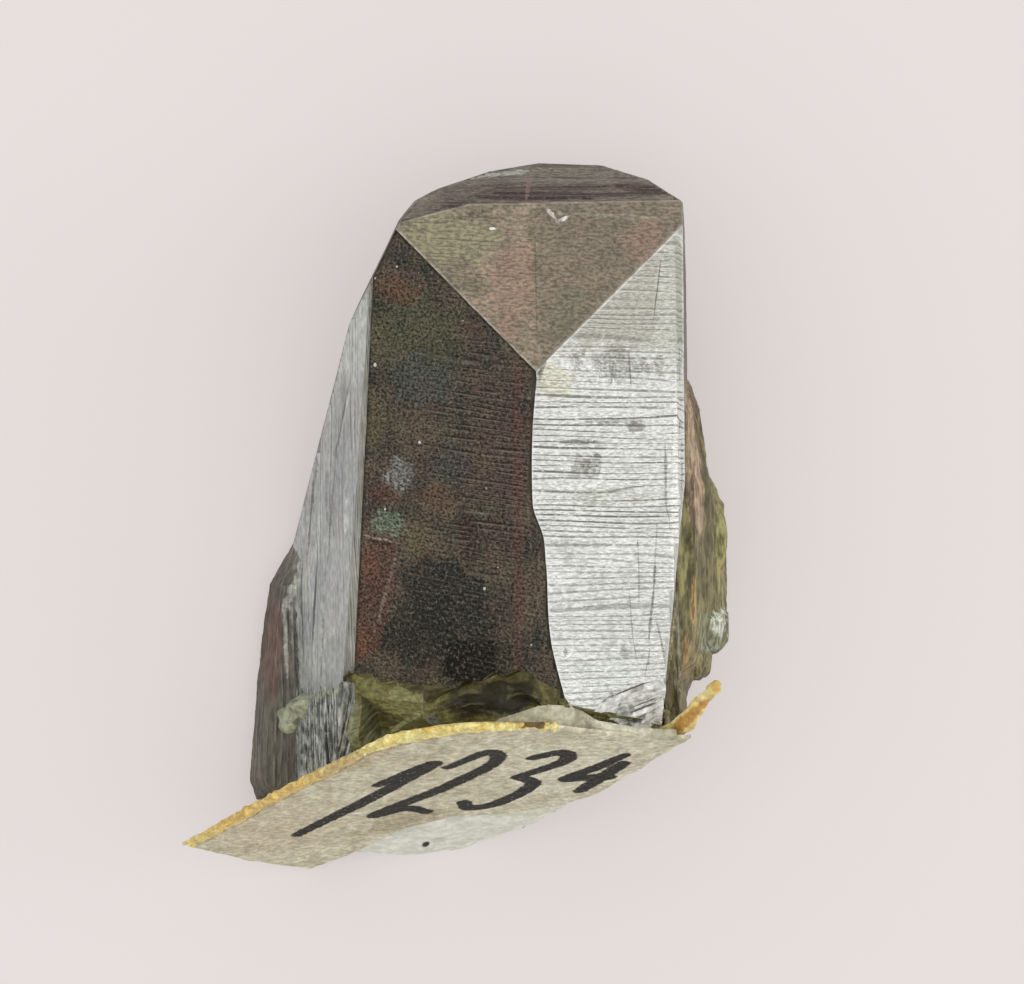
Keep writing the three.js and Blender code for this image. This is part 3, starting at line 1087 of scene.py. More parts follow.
SHOULDER = (
    (-2.5, 0.3), (-2.88, -0.25), (-3.2, -0.85), (-3.46, -1.3), (-3.56, -1.9), (-3.7, -3.1), (-3.83, -4.95),
    (-3.7, -5.3), (-2.4, -5.6), (-2.3, -0.6),
)
SIDE_UPPER = (
    (3.7, 2.75), (4.27, 2.45), (4.45, 1.9), (4.56, 1.2), (4.66, 0.5), (4.64, -1.6), (4.5, -2.7),
    (4.27, -3.2), (4.2, -3.6), (4.05, -3.95), (3.3, -4.0), (3.2, 1.5),
)
SIDE_LOWER = (
    (3.6, 1.1), (4.56, 0.9), (4.74, 0.6), (4.92, 0.18), (5.0, -1.4),
    (SIDE_REACH, -1.95),
    (4.86, -2.4), (4.5, -2.85), (3.4, -3.2),
)
BROKEN_FOOT = (
    (-0.1, -3.6), (0.06, -3.95), (0.24, -3.98), (0.34, -4.08), (0.45, -4.16), (0.6, -4.34), (0.8, -4.42),
    (0.98, -4.33), (1.12, -4.4), (1.3, -4.26), (1.45, -4.16), (1.5, -3.5),
)
FIBRES = (
    (-2.95, -3.86), (-1.1, -3.42), (-1.3, -4.85), (-3.3, -5.6), (-4.1, -5.6), (-4.0, -3.8),
)


@dataclass
class GrownPieces:
    """The smaller crystals and broken pieces that grew together with the main crystal."""

    voxel: float = 0.05

    def shoulder(self) -> bpy.types.Object:
        """The flat crystal at the lower left, whose edge shows past the grey side."""
        made = gathered("shoulder_crystal", [blank(SHOULDER, 0, 0.95, 0.3, 0.45)])
        Maker.remeshed(made, self.voxel)
        return roughen(made, 31, [(0.03, (3.0, 0.6, 3.0)), (0.012, 9.0)])

    def side_crystals(self) -> bpy.types.Object:
        """The two crystals on the right, one behind the other."""
        parts = [
            blank(SIDE_UPPER, 0.7, 3.9, 0.28, 0.9),
            blank(SIDE_LOWER, 0.35, 2.9, 0.3, 0.8),
            Maker.lump([4.74, -0.3, 2.2], [0.2, 0.75, 0.5], 8, rough=0.2),
            Maker.lump([4.05, -3.4, 3.5], [0.16, 0.5, 0.45], 6, rough=0.3),
            Maker.lump([3.8, -3.75, 3.9], [0.14, 0.4, 0.4], -4, rough=0.3),
            Maker.lump([4.64, -2.1, 2.5], [0.34, 0.46, 0.5], -20, rough=0.3),
            Maker.lump([4.84, -1.98, 2.2], [0.2, 0.36, 0.4], 10, rough=0.3),
            Maker.lump([4.42, -2.6, 2.9], [0.26, 0.36, 0.4], 0, rough=0.3),
        ]
        made = gathered("side_crystals", parts)
        Maker.remeshed(made, 0.04)
        return roughen(made, 41, [(0.07, (3.6, 0.5, 2.4)), (0.035, (9.0, 1.6, 6.0)), (0.012, 14.0)])

    def broken_foot(self) -> bpy.types.Object:
        """The broken foot of the silvery face, with its bright parallel splinters."""
        frame = CHIP_FACE.flat.frame()
        parts = [Maker.slab(BROKEN_FOOT, -0.8, -0.16, frame)]
        for x, y, long, turn in ((0.75, -3.98, 0.42, 16), (1.05, -4.14, 0.34, 20), (0.62, -4.2, 0.2, 30)):
            parts.append(Maker.lump([x, y, -0.14], [long, 0.055, 0.09], turn, frame, rough=0.3))
        made = gathered("broken_foot", parts)
        Maker.remeshed(made, 0.03)
        mesh = made.data
        points = Maker.points(mesh)
        away = np.outer(facets(points, 0.2, 0.4, 55), np.array(CHIP_FACE.flat.out()))
        Maker.push(mesh, points + away)
        return roughen(made, 56, [(0.012, 9.0)], CHIP_FACE.flat.frame(CHIP_FACE.relief.fall))

    def crumbs(self, material: bpy.types.Material) -> bpy.types.Object:
        """Dark crumbs along the broken foot, set out by Geometry Nodes.

        Args:
            material: their finish.

        Returns:
            The crumbs as one plain mesh.
        """
        frame = CHIP_FACE.flat.frame()
        places = ((-0.7, -3.84), (-0.05, -3.98), (0.36, -4.16), (0.7, -4.42), (1.3, -4.3), (1.62, -4.05))
        tool = ScatterAlong("crumbs", spacing=0.06, size=(0.08, 0.06, 0.07), spread=0.5, stray=1.5, seed=14)
        path = [frame @ Vector((x, y, -0.3)) for x, y in places]
        return tool.build(path, frame.to_3x3(), Vector((0, 0, 0)), material)

    def pale_growths(self) -> bpy.types.Object:
        """The pale green knobs on the left fibres."""
        left = LEFT_SIDE.frame()
        parts = [
            Maker.lump([-3.8, -4.2, 0.22], [0.62, 0.4, 0.34], 4, left, rough=0.25),
            Maker.lump([-3.0, -3.92, 0.12], [0.5, 0.22, 0.24], 13, left, rough=0.25),
            Maker.lump([-4.12, -4.7, 0.16], [0.2, 0.6, 0.24], -4, left, rough=0.25),
            Maker.lump([-2.3, -3.76, -0.02], [0.7, 0.09, 0.13], 14, left, rough=0.3),
            Maker.lump([-1.42, -3.62, -0.02], [0.32, 0.14, 0.14], 30, left, rough=0.3),
        ]
        made = gathered("pale_growths", parts)
        Maker.remeshed(made, 0.035)
        return roughen(made, 51, [(0.05, 2.6), (0.025, 8.0), (0.01, 20.0)])

    def fibrous_break(self) -> bpy.types.Object:
        """The splintered piece below the grey side."""
        left = LEFT_SIDE.frame()
        parts = [Maker.slab(FIBRES, -0.4, 0.13, left)]
        made = gathered("fibrous_break", parts)
        Maker.remeshed(made, self.voxel)
        return roughen(made, 61, [(0.12, (2.6, 0.35, 2.0)), (0.04, (8.0, 1.2, 4.0)), (0.01, 12.0)], left)

    def splinters(self, material: bpy.types.Material) -> bpy.types.Object:
        """Thin splinters that lie along the fibrous piece, set out by Geometry Nodes.

        Args:
            material: their finish.

        Returns:
            The splinters as one plain mesh.
        """
        left = LEFT_SIDE.frame()
        bed = [left @ Vector((x, y, 0.12)) for x, y in ((-1.35, -4.15), (-3.75, -4.3))]
        tool = ScatterAlong(
            "splinters", spacing=0.11, size=(0.035, 0.6, 0.03), spread=0.35, stray=math.radians(7), seed=5
        )
        frame = left.to_3x3() @ Matrix.Rotation(math.radians(2), 3, "Z")
        return tool.build(bed, frame, Vector((0, -0.25, 0)), material)


@dataclass
class ScatterAlong:
    """Small lumps or splinters set out along a path by Geometry Nodes.

    Attributes:
        name: the piece's name.
        spacing: distance between them, in millimetres.
        size: half sizes across, along and out of the path's face.
        spread: how much the sizes vary, as a share.
        stray: how far they turn about the face's Z, in radians.
        seed: fixes the variation.
    """

    name: str
    spacing: float
    size: tuple[float, float, float]
    spread: float
    stray: float
    seed: int

    def tree(self, material: bpy.types.Material) -> bpy.types.GeometryNodeTree:
        """The node tree, with its sizes as named inputs.

        Args:
            material: what the lumps are made of.

        Returns:
            The tree.
        """
        tree = bpy.data.node_groups.new(self.name + "_nodes", "GeometryNodeTree")
        face = tree.interface
        face.new_socket("Geometry", in_out="INPUT", socket_type="NodeSocketGeometry")
        for name, kind in (
            ("Spacing", "NodeSocketFloat"),
            ("Size", "NodeSocketVector"),
            ("Spread", "NodeSocketFloat"),
            ("Stray", "NodeSocketFloat"),
            ("Turn", "NodeSocketVector"),
            ("Seed", "NodeSocketInt"),
        ):
            face.new_socket(name, in_out="INPUT", socket_type=kind)
        face.new_socket("Geometry", in_out="OUTPUT", socket_type="NodeSocketGeometry")
        bench = Bench(tree)
        given = bench.add("NodeGroupInput").outputs
        path = bench.add("GeometryNodeMeshToCurve", {0: given["Geometry"]})
        spots = bench.add(
            "GeometryNodeCurveToPoints", {"Curve": path.outputs[0], "Length": given["Spacing"]}, mode="LENGTH"
        )
        lump = bench.add("GeometryNodeMeshIcoSphere", {"Radius": 1.0, "Subdivisions": 3})
        shaped = bench.add(
            "GeometryNodeSetPosition",
            {
                "Geometry": lump.outputs[0],
                "Offset": bench.vector(
                    "SCALE",
                    bench.add("ShaderNodeTexNoise", {"Scale": 1.7, "Detail": 3.0}).outputs["Color"],
                    scale=0.35,
                ),
            },
        )
        vary = bench.add(
            "FunctionNodeRandomValue",
            {
                0: bench.pack(bench.math("SUBTRACT", 1.0, given["Spread"])),
                1: bench.pack(bench.math("ADD", 1.0, given["Spread"])),
                "Seed": given["Seed"],
            },
            data_type="FLOAT_VECTOR",
        )
        size = bench.vector("MULTIPLY", vary.outputs[0], given["Size"])
        swing = bench.add(
            "FunctionNodeRandomValue",
            {2: bench.math("MULTIPLY", given["Stray"], -1.0), 3: given["Stray"], "Seed": given["Seed"]},
            data_type="FLOAT",
        )
        face_turn = bench.add("FunctionNodeEulerToRotation", {0: given["Turn"]})
        local = bench.add(
            "FunctionNodeAxisAngleToRotation", {"Axis": (0.0, 0.0, 1.0), "Angle": swing.outputs[1]}
        )
        turn = bench.add(
            "FunctionNodeRotateRotation",
            {0: face_turn.outputs[0], 1: local.outputs[0]},
            rotation_space="LOCAL",
        )
        placed = bench.add(
            "GeometryNodeInstanceOnPoints",
            {
                "Points": spots.outputs["Points"],
                "Instance": shaped.outputs[0],
                "Rotation": turn.outputs[0],
                "Scale": size,
            },
        )
        real = bench.add("GeometryNodeRealizeInstances", {0: placed.outputs[0]})
        dressed = bench.add("GeometryNodeSetMaterial", {0: real.outputs[0], "Material": material})
        bench.add("NodeGroupOutput", {0: dressed.outputs[0]})
        return tree

    def build(
        self, path: Sequence[Vector], frame: Matrix, offset: Vector, material: bpy.types.Material
    ) -> bpy.types.Object:
        """Sets the lumps out along a path.

        Args:
            path: the path's corners, in millimetres.
            frame: turns the lumps' own axes into the maker's.
            offset: from the path to the lumps, in their own axes.
            material: what they are made of.

        Returns:
            The lumps as one plain mesh.
        """
        bm = bmesh.new()
        spots = [bm.verts.new(p + frame @ offset) for p in path]
        for a, b in zip(spots, spots[1:]):
            bm.edges.new((a, b))
        made = Maker.shape(self.name, bm)
        made.data.materials.append(material)
        tree = self.tree(material)
        step = made.modifiers.new("set_out", "NODES")
        step.node_group = tree
        values = {
            "Spacing": self.spacing,
            "Size": self.size,
            "Spread": self.spread,
            "Stray": self.stray,
            "Turn": tuple(frame.to_euler()),
            "Seed": self.seed,
        }
        for item in tree.interface.items_tree:
            if item.in_out == "INPUT" and item.name in values:
                step[item.identifier] = values[item.name]
        Maker.baked(made)
        mesh = made.data
        points = Maker.points(mesh)
        points[:, 2] = np.maximum(points[:, 2], 0)
        Maker.push(mesh, points)
        Maker.note(mesh, "grain", points @ np.array(frame))
        Maker.note(mesh, "rim", np.full(len(points), 9.0))
        return made


LABEL_OUTLINE = (
    (-5.25, -4.42), (-4.28, -2.05), (-3.64, -0.55), (-3.12, 0.44), (-2.7, 1.37), (-1.97, 1.77),
    (-1.31, 1.98), (0.22, 1.94), (1.19, 1.5), (2.2, 1.22), (2.98, 1.19), (2.73, 0.3), (2.49, -0.56),
    (2.05, -1.75), (1.49, -2.51), (0.45, -2.92), (-0.47, -3.05), (-1.25, -3.75), (-1.95, -5.27),
    (-2.48, -5.95), (-3.84, -5.35),
)
RIM_CORNERS = 8  # of the label's outline, from its left point, carry the glue rim
PAPER_EDGE = (  # where the paper ends below the glue rim
    (-4.87, -4.28), (-4.32, -3.11), (-3.99, -2.19), (-3.56, -1.29), (-3.13, -0.39), (-2.75, 0.55),
    (-2.13, 1.06), (-1.7, 1.38), (-0.75, 1.68), (0.1, 1.86),
)
FILLER_PAD = (
    (-2.9, -3.3), (-2.0, -1.4), (-0.9, 0.6), (0.0, 1.2), (0.4, 1.4), (1.25, 1.05), (2.2, 0.55), (2.55, 0.4),
    (2.3, -1.0), (1.7, -2.75), (0.87, -4.5), (0.4, -5.05), (-0.3, -5.4), (-1.2, -5.4), (-2.2, -5.2),
)
FILLET_BACK = (  # where the fillet meets the crystal's foot: across, along, height
    (-0.75, 1.7, -0.12), (-0.35, 1.82, -0.2), (0.0, 1.88, -0.32), (0.2, 1.87, -0.34), (0.6, 1.8, -0.32),
    (0.9, 1.6, -0.28), (1.2, 1.4, -0.18), (1.9, 1.3, -0.08), (2.7, 1.24, -0.04),
)
FILLET_FRONT = (  # where it runs out on the paper: across, along
    (-0.7, 1.66), (0.2, 1.58), (0.7, 1.34), (1.2, 1.14), (1.9, 1.08), (2.7, 1.1),
)
FILLER_LUMP = (
    (1.55, -2.53), (1.74, -2.8), (1.35, -3.7), (0.87, -4.52), (0.4, -5.08), (-0.3, -5.42), (-1.2, -5.42),
    (-1.88, -5.3), (-1.2, -3.79), (-0.45, -3.11), (0.45, -2.98),
)
TONGUE = (
    (4.62, -2.91), (4.71, -2.89), (4.78, -2.95), (4.76, -3.1), (4.65, -3.2), (4.56, -3.32), (4.51, -3.47),
    (4.4, -3.65), (4.31, -3.84), (4.13, -3.94), (3.92, -3.95), (3.72, -3.92), (3.63, -3.83), (3.91, -3.66),
    (4.12, -3.46), (4.23, -3.28), (4.39, -3.16), (4.48, -3.08), (4.55, -2.96),
)
TONGUE_FOOT = (3.72, -4.0, 4.72)

FILLET_FALL = 1.4  # above 1 the fillet's front lies low before it climbs
FILLET_GRID = 0.04


@dataclass
class LabelledBase:
    """The base of the specimen: filler, yellowed glue and the torn paper label."""

    grid: float = 0.07
    creep: float = 0.06  # how far the filler creeps up round the broken base

    def filler(self) -> bpy.types.Object:
        """The white filler on the broken base, with its lump under the label's edge."""
        frame = LABEL.frame()
        low = -BASE_GAP - self.creep
        back = -PAPER - GLUE - 2 * CLEARANCE
        parts = [
            Maker.slab(FILLER_PAD, low, back, frame),
            Maker.slab(FILLER_LUMP, low - 4 * self.creep, -0.12, frame),
            Maker.lump([0.2, -4.0, -0.2], [1.0, 0.75, 0.16], 20, frame, rough=0.2),
        ]
        made = gathered("base_filler_plaster", parts)
        Maker.remeshed(made, 0.045)
        return roughen(made, 71, [(0.05, 1.4), (0.03, 4.0), (0.01, 14.0)], frame)

    def fillet(self) -> bpy.types.Object:
        """The smooth beige filler that covers the label's edge below the front right face."""
        frame = LABEL.frame()
        noise = Unevenness(76)
        back, front = np.array(FILLET_BACK), np.array(FILLET_FRONT)

        def upper(at: np.ndarray) -> np.ndarray:
            """How the fillet falls from the paper to the crystal's foot."""
            high = np.interp(at[:, 0], back[:, 0], back[:, 1])
            low = np.interp(at[:, 0], front[:, 0], front[:, 1])
            drop = np.interp(at[:, 0], back[:, 0], back[:, 2])
            share = np.clip((at[:, 1] - low) / (high - low), 0.0, 1.0)
            return drop * share**FILLET_FALL + 0.01 * noise.layered(at, 2.0, 2)

        outline = [(x, y) for x, y, _ in FILLET_BACK] + list(reversed(FILLET_FRONT))
        skin = 2 * self.creep
        bm = closed_sheet(outline, FILLET_GRID, upper, lambda at: upper(at) - skin, frame)
        made = Maker.shape("filler_fillet", bm)
        Maker.softened(made, 3)
        return roughen(made, 75, [(0.02, 1.6), (0.006, 9.0)], frame)

    def glue_sheet(self) -> bpy.types.Object:
        """The glue between filler and paper."""
        frame = LABEL.frame()
        top = -PAPER - CLEARANCE
        noise = Unevenness(81)
        bm = closed_sheet(
            torn(inset(LABEL_OUTLINE, 0.5), 0.09, 0.05, 82),
            0.12,
            lambda at: np.full(len(at), top),
            lambda at: top - GLUE + 0.025 * noise.layered(at, 2.0, 3),
            frame,
        )
        made = Maker.shape("glue_sheet", bm)
        return roughen(made, 83, [(0.0, 1.0)], frame)

    def glue_strip(self) -> bpy.types.Object:
        """The strip of glue between the label's front edge and the paper's."""
        frame = LABEL.frame()
        noise = Unevenness(84)
        outline = [*LABEL_OUTLINE[:RIM_CORNERS], *reversed(PAPER_EDGE)]

        def upper(at: np.ndarray) -> np.ndarray:
            """How the glue swells."""
            return 0.03 * noise.layered(at, 3.0, 3)

        sheet = torn(outline, 0.05, 0.08, 86)
        bm = closed_sheet(sheet, 0.05, upper, lambda at: np.full(len(at), -PAPER), frame)
        made = Maker.shape("glue_strip", bm)
        Maker.softened(made, 3)
        return roughen(made, 85, [(0.015, 5.0), (0.01, 12.0)], frame)

    def glue_rim(self, material: bpy.types.Material) -> bpy.types.Object:
        """The beaded rim of glue along the label's front edge.

        Args:
            material: its finish.

        Returns:
            The rim as one plain mesh.
        """
        frame = LABEL.frame()
        corners = [(-5.12, -4.25), *LABEL_OUTLINE[1:RIM_CORNERS]]
        path = [frame @ Vector((x + 0.05, y - 0.12, -0.03)) for x, y in corners]
        tool = ScatterAlong(
            "glue_rim", spacing=0.07, size=(0.08, 0.06, 0.065), spread=0.6, stray=1.5, seed=9
        )
        made = tool.build(path, frame.to_3x3(), Vector((0, 0, 0)), material)
        Maker.remeshed(made, 0.024)
        return roughen(made, 85, [(0.025, 1.6), (0.02, 4.5), (0.012, 9.0)], frame)

    def tongue(self) -> bpy.types.Object:
        """The curled tongue of glue at the label's right end."""
        foot = np.array(TONGUE_FOOT)
        noise = Unevenness(87)

        def upper(at: np.ndarray) -> np.ndarray:
            """How the tongue climbs and buckles."""
            return foot[2] + (at[:, :2] - foot[:2]) @ (0.75, 0.66) + 0.05 * noise.layered(at, 2.2, 3)

        bm = closed_sheet(torn(TONGUE, 0.04, 0.04, 88), 0.03, upper, lambda at: upper(at) - 0.17, Matrix())
        made = Maker.shape("glue_tongue", bm)
        Maker.softened(made, 4)
        return roughen(made, 87, [(0.015, 5.0), (0.008, 14.0)])

    def paper(self) -> bpy.types.Object:
        """The torn paper with its ink."""
        frame = LABEL.frame()
        noise = Unevenness(91)

        def swell(at: np.ndarray) -> np.ndarray:
            """How the paper cockles."""
            return 0.012 * noise.layered(at, 0.9, 2) - 0.012 + 0.004 * noise.at(at, 8.0)

        bm = closed_sheet(
            torn([LABEL_OUTLINE[0], *PAPER_EDGE, *LABEL_OUTLINE[RIM_CORNERS:]], 0.06, 0.08, 92),
            self.grid,
            swell,
            lambda at: np.full(len(at), -PAPER),
            frame,
        )
        made = Maker.shape("torn_paper", bm)
        mesh = made.data
        local = (Maker.points(mesh) - np.array(frame.translation)) @ np.array(frame.to_3x3())
        Maker.note(mesh, "grain", local)
        Maker.note(mesh, "rim", np.full(len(local), 9.0))
        Maker.note(mesh, "ink", InkDigits().distances(local[:, 0], local[:, 1]))
        return made


@dataclass(frozen=True)
class InkDigit:
    """One plain brushed digit: where it stands on the label and its strokes in a unit box."""

    foot: tuple[float, float]
    head: tuple[float, float]
    strokes: tuple[tuple[tuple[float, float], ...], ...]


@dataclass(frozen=True)
class InkDigits:
    """Plain generic digits, brushed by hand.

    Attributes:
        width: a digit's width, in millimetres.
        brush: half the width of a stroke.
    """

    width: float = 0.95
    brush: float = 0.155
    digits: tuple[InkDigit, ...] = (
        InkDigit((-3.35, -3.9), (-1.95, -0.1), (((0.1, 0.72), (0.5, 1.0), (0.42, 0.5), (0.2, 0.0)),)),
        InkDigit(
            (-1.95, -2.9), (-1.0, 0.5),
            (((0.05, 0.78), (0.4, 1.0), (0.85, 0.82), (0.6, 0.42), (0.0, 0.02), (0.45, 0.1), (1.0, 0.02)),),
        ),
        InkDigit(
            (-0.5, -2.55), (0.25, 0.4),
            (
                ((0.1, 0.92), (0.55, 1.0), (0.85, 0.82), (0.35, 0.56)),
                ((0.35, 0.56), (0.9, 0.4), (0.75, 0.08), (0.3, 0.0), (0.0, 0.12)),
            ),
        ),
        InkDigit(
            (1.05, -1.7), (1.5, 0.2),
            (((0.5, 1.0), (0.3, 0.7), (0.0, 0.38), (0.5, 0.4), (0.85, 0.36)), ((0.72, 0.75), (0.62, 0.0))),
        ),
    )

    def distances(self, x: np.ndarray, y: np.ndarray) -> np.ndarray:
        """Distances to the ink's edge, negative inside a stroke.

        Args:
            x: places across the label, in millimetres.
            y: places up the label.

        Returns:
            One distance for each place.
        """
        nearest = np.full(len(x), 9.0)
        for digit in self.digits:
            foot, head = np.array(digit.foot), np.array(digit.head)
            for stroke in digit.strokes:
                path = smooth_path(stroke)
                spots = foot + np.outer(path[:, 1], head - foot) + np.outer(path[:, 0], (self.width, 0.12))
                for k, (start, end) in enumerate(zip(spots, spots[1:])):
                    press = self.brush * (0.8 + 0.3 * math.sin(math.pi * (k + 1) / len(spots)))
                    away = distance_to(x, y, *start, *end) - press
                    nearest = np.minimum(nearest, away)
        return nearest


class Bench:
    """Adds nodes to one tree and links them."""

    def __init__(self, tree: bpy.types.NodeTree) -> None:
        """Takes the tree to work on."""
        self.tree = tree

    def add(self, kind: str, inputs: dict | None = None, **settings: object) -> bpy.types.Node:
        """Adds a node.

        Args:
            kind: its type.
            inputs: a socket or a value for each input, by name or number.
            settings: its properties.

        Returns:
            The node.
        """
        node = self.tree.nodes.new(kind)
        for name, value in settings.items():
            setattr(node, name, value)
        for key, value in (inputs or {}).items():
            if isinstance(value, Socket):
                self.tree.links.new(value, node.inputs[key])
            else:
                node.inputs[key].default_value = value
        return node

    def math(self, operation: str, *values: Socket | float) -> Socket:
        """A Math node's result."""
        return self.add("ShaderNodeMath", dict(enumerate(values)), operation=operation).outputs[0]

    def vector(self, operation: str, *values: Socket | Sequence[float], scale: float | None = None) -> Socket:
        """A Vector Math node's result."""
        node = self.add("ShaderNodeVectorMath", dict(enumerate(values)), operation=operation)
        if scale is not None:
            node.inputs["Scale"].default_value = scale
        return node.outputs["Value" if operation in ("LENGTH", "DOT_PRODUCT") else 0]

    def pack(self, value: Socket) -> Socket:
        """One number as a vector with three equal parts."""
        return self.add("ShaderNodeCombineXYZ", {0: value, 1: value, 2: value}).outputs[0]

    def between(
        self, value: Socket, low: float, high: float, to_low: float = 0.0, to_high: float = 1.0
    ) -> Socket:
        """A smooth step from one value to another."""
        inputs = {0: value, 1: low, 2: high, 3: to_low, 4: to_high}
        return self.add("ShaderNodeMapRange", inputs, interpolation_type="SMOOTHSTEP").outputs[0]

    def mix(
        self, share: Socket | float, first: Socket | Sequence[float], second: Socket | Sequence[float]
    ) -> Socket:
        """A blend of two colours."""
        inputs = {0: share, 6: first, 7: second}
        return self.add("ShaderNodeMix", inputs, data_type="RGBA").outputs[2]

    def noise(self, vector: Socket, scale: float = 1.0, detail: float = 3.0, rough: float = 0.55) -> Socket:
        """A noise texture's value."""
        inputs = {"Vector": vector, "Scale": scale, "Detail": detail, "Roughness": rough}
        return self.add("ShaderNodeTexNoise", inputs).outputs["Fac"]

    def group(self, tree: bpy.types.NodeTree, inputs: dict) -> bpy.types.Node:
        """Places a node group."""
        return self.add("ShaderNodeGroup", inputs, node_tree=tree)


class Effects:
    """Shader node groups that several finishes share, each built once."""

    def __init__(self) -> None:
        """Builds the groups."""
        self.striation = self.striation_group()
        self.mottle = self.mottle_group()
        self.patch = self.patch_group()
        self.specks = self.specks_group()
        self.edge_wear_and_highlight = self.edge_wear_and_highlight_group()

    @staticmethod
    def new_group(
        name: str, inputs: dict[str, str], outputs: dict[str, str]
    ) -> tuple[bpy.types.NodeTree, Bench, bpy.types.NodeOutputs]:
        """Starts a group.

        Args:
            name: its name.
            inputs: the kind of socket for each input.
            outputs: the kind of socket for each output.

        Returns:
            The group, a bench to work on it, and its input sockets.
        """
        tree = bpy.data.node_groups.new(name, "ShaderNodeTree")
        for way, sockets in (("INPUT", inputs), ("OUTPUT", outputs)):
            for socket, kind in sockets.items():
                tree.interface.new_socket(socket, in_out=way, socket_type="NodeSocket" + kind)
        bench = Bench(tree)
        return tree, bench, bench.add("NodeGroupInput").outputs

    @staticmethod
    def striation_group() -> bpy.types.NodeTree:
        """Straight thin growth lines, each broken in its own places, with a pale line beside each dark one as
        a painted highlight on its lip.
        """
        tree, bench, given = Effects.new_group(
            "striation",
            {"Flow": "Vector", "Lines": "Float", "Length": "Float", "Cover": "Float", "Lean": "Float"},
            {"Dark": "Float", "Pale": "Float", "Height": "Float"},
        )
        parts = bench.add("ShaderNodeSeparateXYZ", {0: given["Flow"]}).outputs
        bend = bench.noise(bench.vector("MULTIPLY", given["Flow"], (0.12, 1.5, 0.12)), 1.0, 2.0, 0.5)
        phase = bench.math("MULTIPLY", parts[1], given["Lines"])
        phase = bench.math("ADD", phase, bench.math("MULTIPLY", bend, 5.0))
        line = bench.math("FLOOR", phase)
        share = bench.math("FRACT", phase)
        across = bench.math("DIVIDE", parts[0], given["Length"])
        own = bench.add("ShaderNodeCombineXYZ", {0: across, 1: bench.math("MULTIPLY", line, 7.31)}).outputs[0]
        lean = bench.math("MULTIPLY", parts[0], given["Lean"])
        level = bench.math("ADD", bench.noise(own, 1.0, 3.0, 0.6), bench.math("ADD", lean, given["Cover"]))
        grit = bench.noise(bench.vector("MULTIPLY", given["Flow"], (9.0, 16.0, 9.0)), 1.0, 3.0, 0.65)
        gritty = bench.between(grit, 0.3, 0.5, 0.15, 1.0)
        shown = bench.math("MULTIPLY", bench.between(level, 0.4, 0.6), gritty)
        own = bench.noise(bench.vector("MULTIPLY", own, (0.3, 2.7, 1.0)), 1.0, 2.0, 0.5)
        width = bench.between(own, 0.3, 0.7, 0.02, 0.15)
        masks = []
        for beside in (0.0, 0.3):
            off = bench.math("SUBTRACT", bench.math("FRACT", bench.math("ADD", share, beside)), 0.5)
            near = bench.between(bench.math("SUBTRACT", width, bench.math("ABSOLUTE", off)), -0.05, 0.05)
            masks.append(bench.math("MULTIPLY", near, shown))
        # The pale line beside each dark one is a painted highlight on its lip.
        pale = bench.math("MULTIPLY", masks[1], bench.math("SUBTRACT", 1.0, masks[0]))
        height = bench.math("SUBTRACT", bench.math("MULTIPLY", pale, 0.4), masks[0])
        bench.add("NodeGroupOutput", {"Dark": masks[0], "Pale": pale, "Height": height})
        return tree

    @staticmethod
    def mottle_group() -> bpy.types.NodeTree:
        """Slow clouds of colour, and the fine grain that follows the face."""
        tree, bench, given = Effects.new_group(
            "mottle",
            {"Place": "Vector", "Size": "Float", "Grain": "Vector", "Weave": "Vector"},
            {key: "Float" for key in ("Slow", "Fine", "Other", "Spark", "Torn", "Dots")},
        )
        place = bench.vector("DIVIDE", given["Place"], bench.pack(given["Size"]))
        slow = bench.between(bench.noise(place, 1.0, 5.0, 0.65), 0.32, 0.68)
        grain = bench.vector("MULTIPLY", given["Grain"], given["Weave"])
        fine = bench.between(bench.noise(grain, 1.0, 3.0, 0.65), 0.3, 0.7)
        other = bench.noise(bench.vector("ADD", place, (31.7, 11.3, 7.9)), 1.6, 5.0, 0.65)
        spark = bench.between(bench.noise(given["Grain"], 14.0, 3.0, 0.7), 0.52, 0.66)
        torn = bench.math("SUBTRACT", bench.noise(given["Grain"], 3.1, 5.0, 0.68), 0.5)
        dots = bench.noise(bench.vector("MULTIPLY", given["Grain"], (11.0, 17.0, 11.0)), 1.0, 3.0, 0.6)
        results = {
            "Slow": slow,
            "Fine": fine,
            "Other": bench.between(other, 0.38, 0.64),
            "Spark": spark,
            "Torn": bench.math("MULTIPLY", torn, 1.8),
            "Dots": bench.between(dots, 0.43, 0.57, 1.0, 0.0),
        }
        bench.add("NodeGroupOutput", results)
        return tree

    @staticmethod
    def patch_group() -> bpy.types.NodeTree:
        """One ragged patch of colour at a place of the face."""
        tree, bench, given = Effects.new_group(
            "patch",
            {
                "Grain": "Vector",
                "Centre": "Vector",
                "Reach": "Vector",
                "Turn": "Float",
                "Ragged": "Float",
                "Soft": "Float",
                "Speck": "Float",
                "Torn": "Float",
                "Dots": "Float",
            },
            {"Mask": "Float"},
        )
        away = bench.vector("SUBTRACT", given["Grain"], given["Centre"])
        turned = bench.add(
            "ShaderNodeVectorRotate", {"Vector": away, "Angle": given["Turn"]}, rotation_type="Z_AXIS"
        ).outputs[0]
        share = bench.vector("DIVIDE", turned, given["Reach"])
        level = bench.vector("LENGTH", share)
        level = bench.math("ADD", level, bench.math("MULTIPLY", given["Torn"], given["Ragged"]))
        near = bench.math("DIVIDE", bench.math("SUBTRACT", 1.0, level), given["Soft"])
        mask = bench.between(near, 0.0, 1.0)
        gap = bench.math("MULTIPLY", given["Dots"], given["Speck"])
        shown = bench.math("MULTIPLY", mask, bench.math("SUBTRACT", 1.0, gap))
        bench.add("NodeGroupOutput", {"Mask": shown})
        return tree

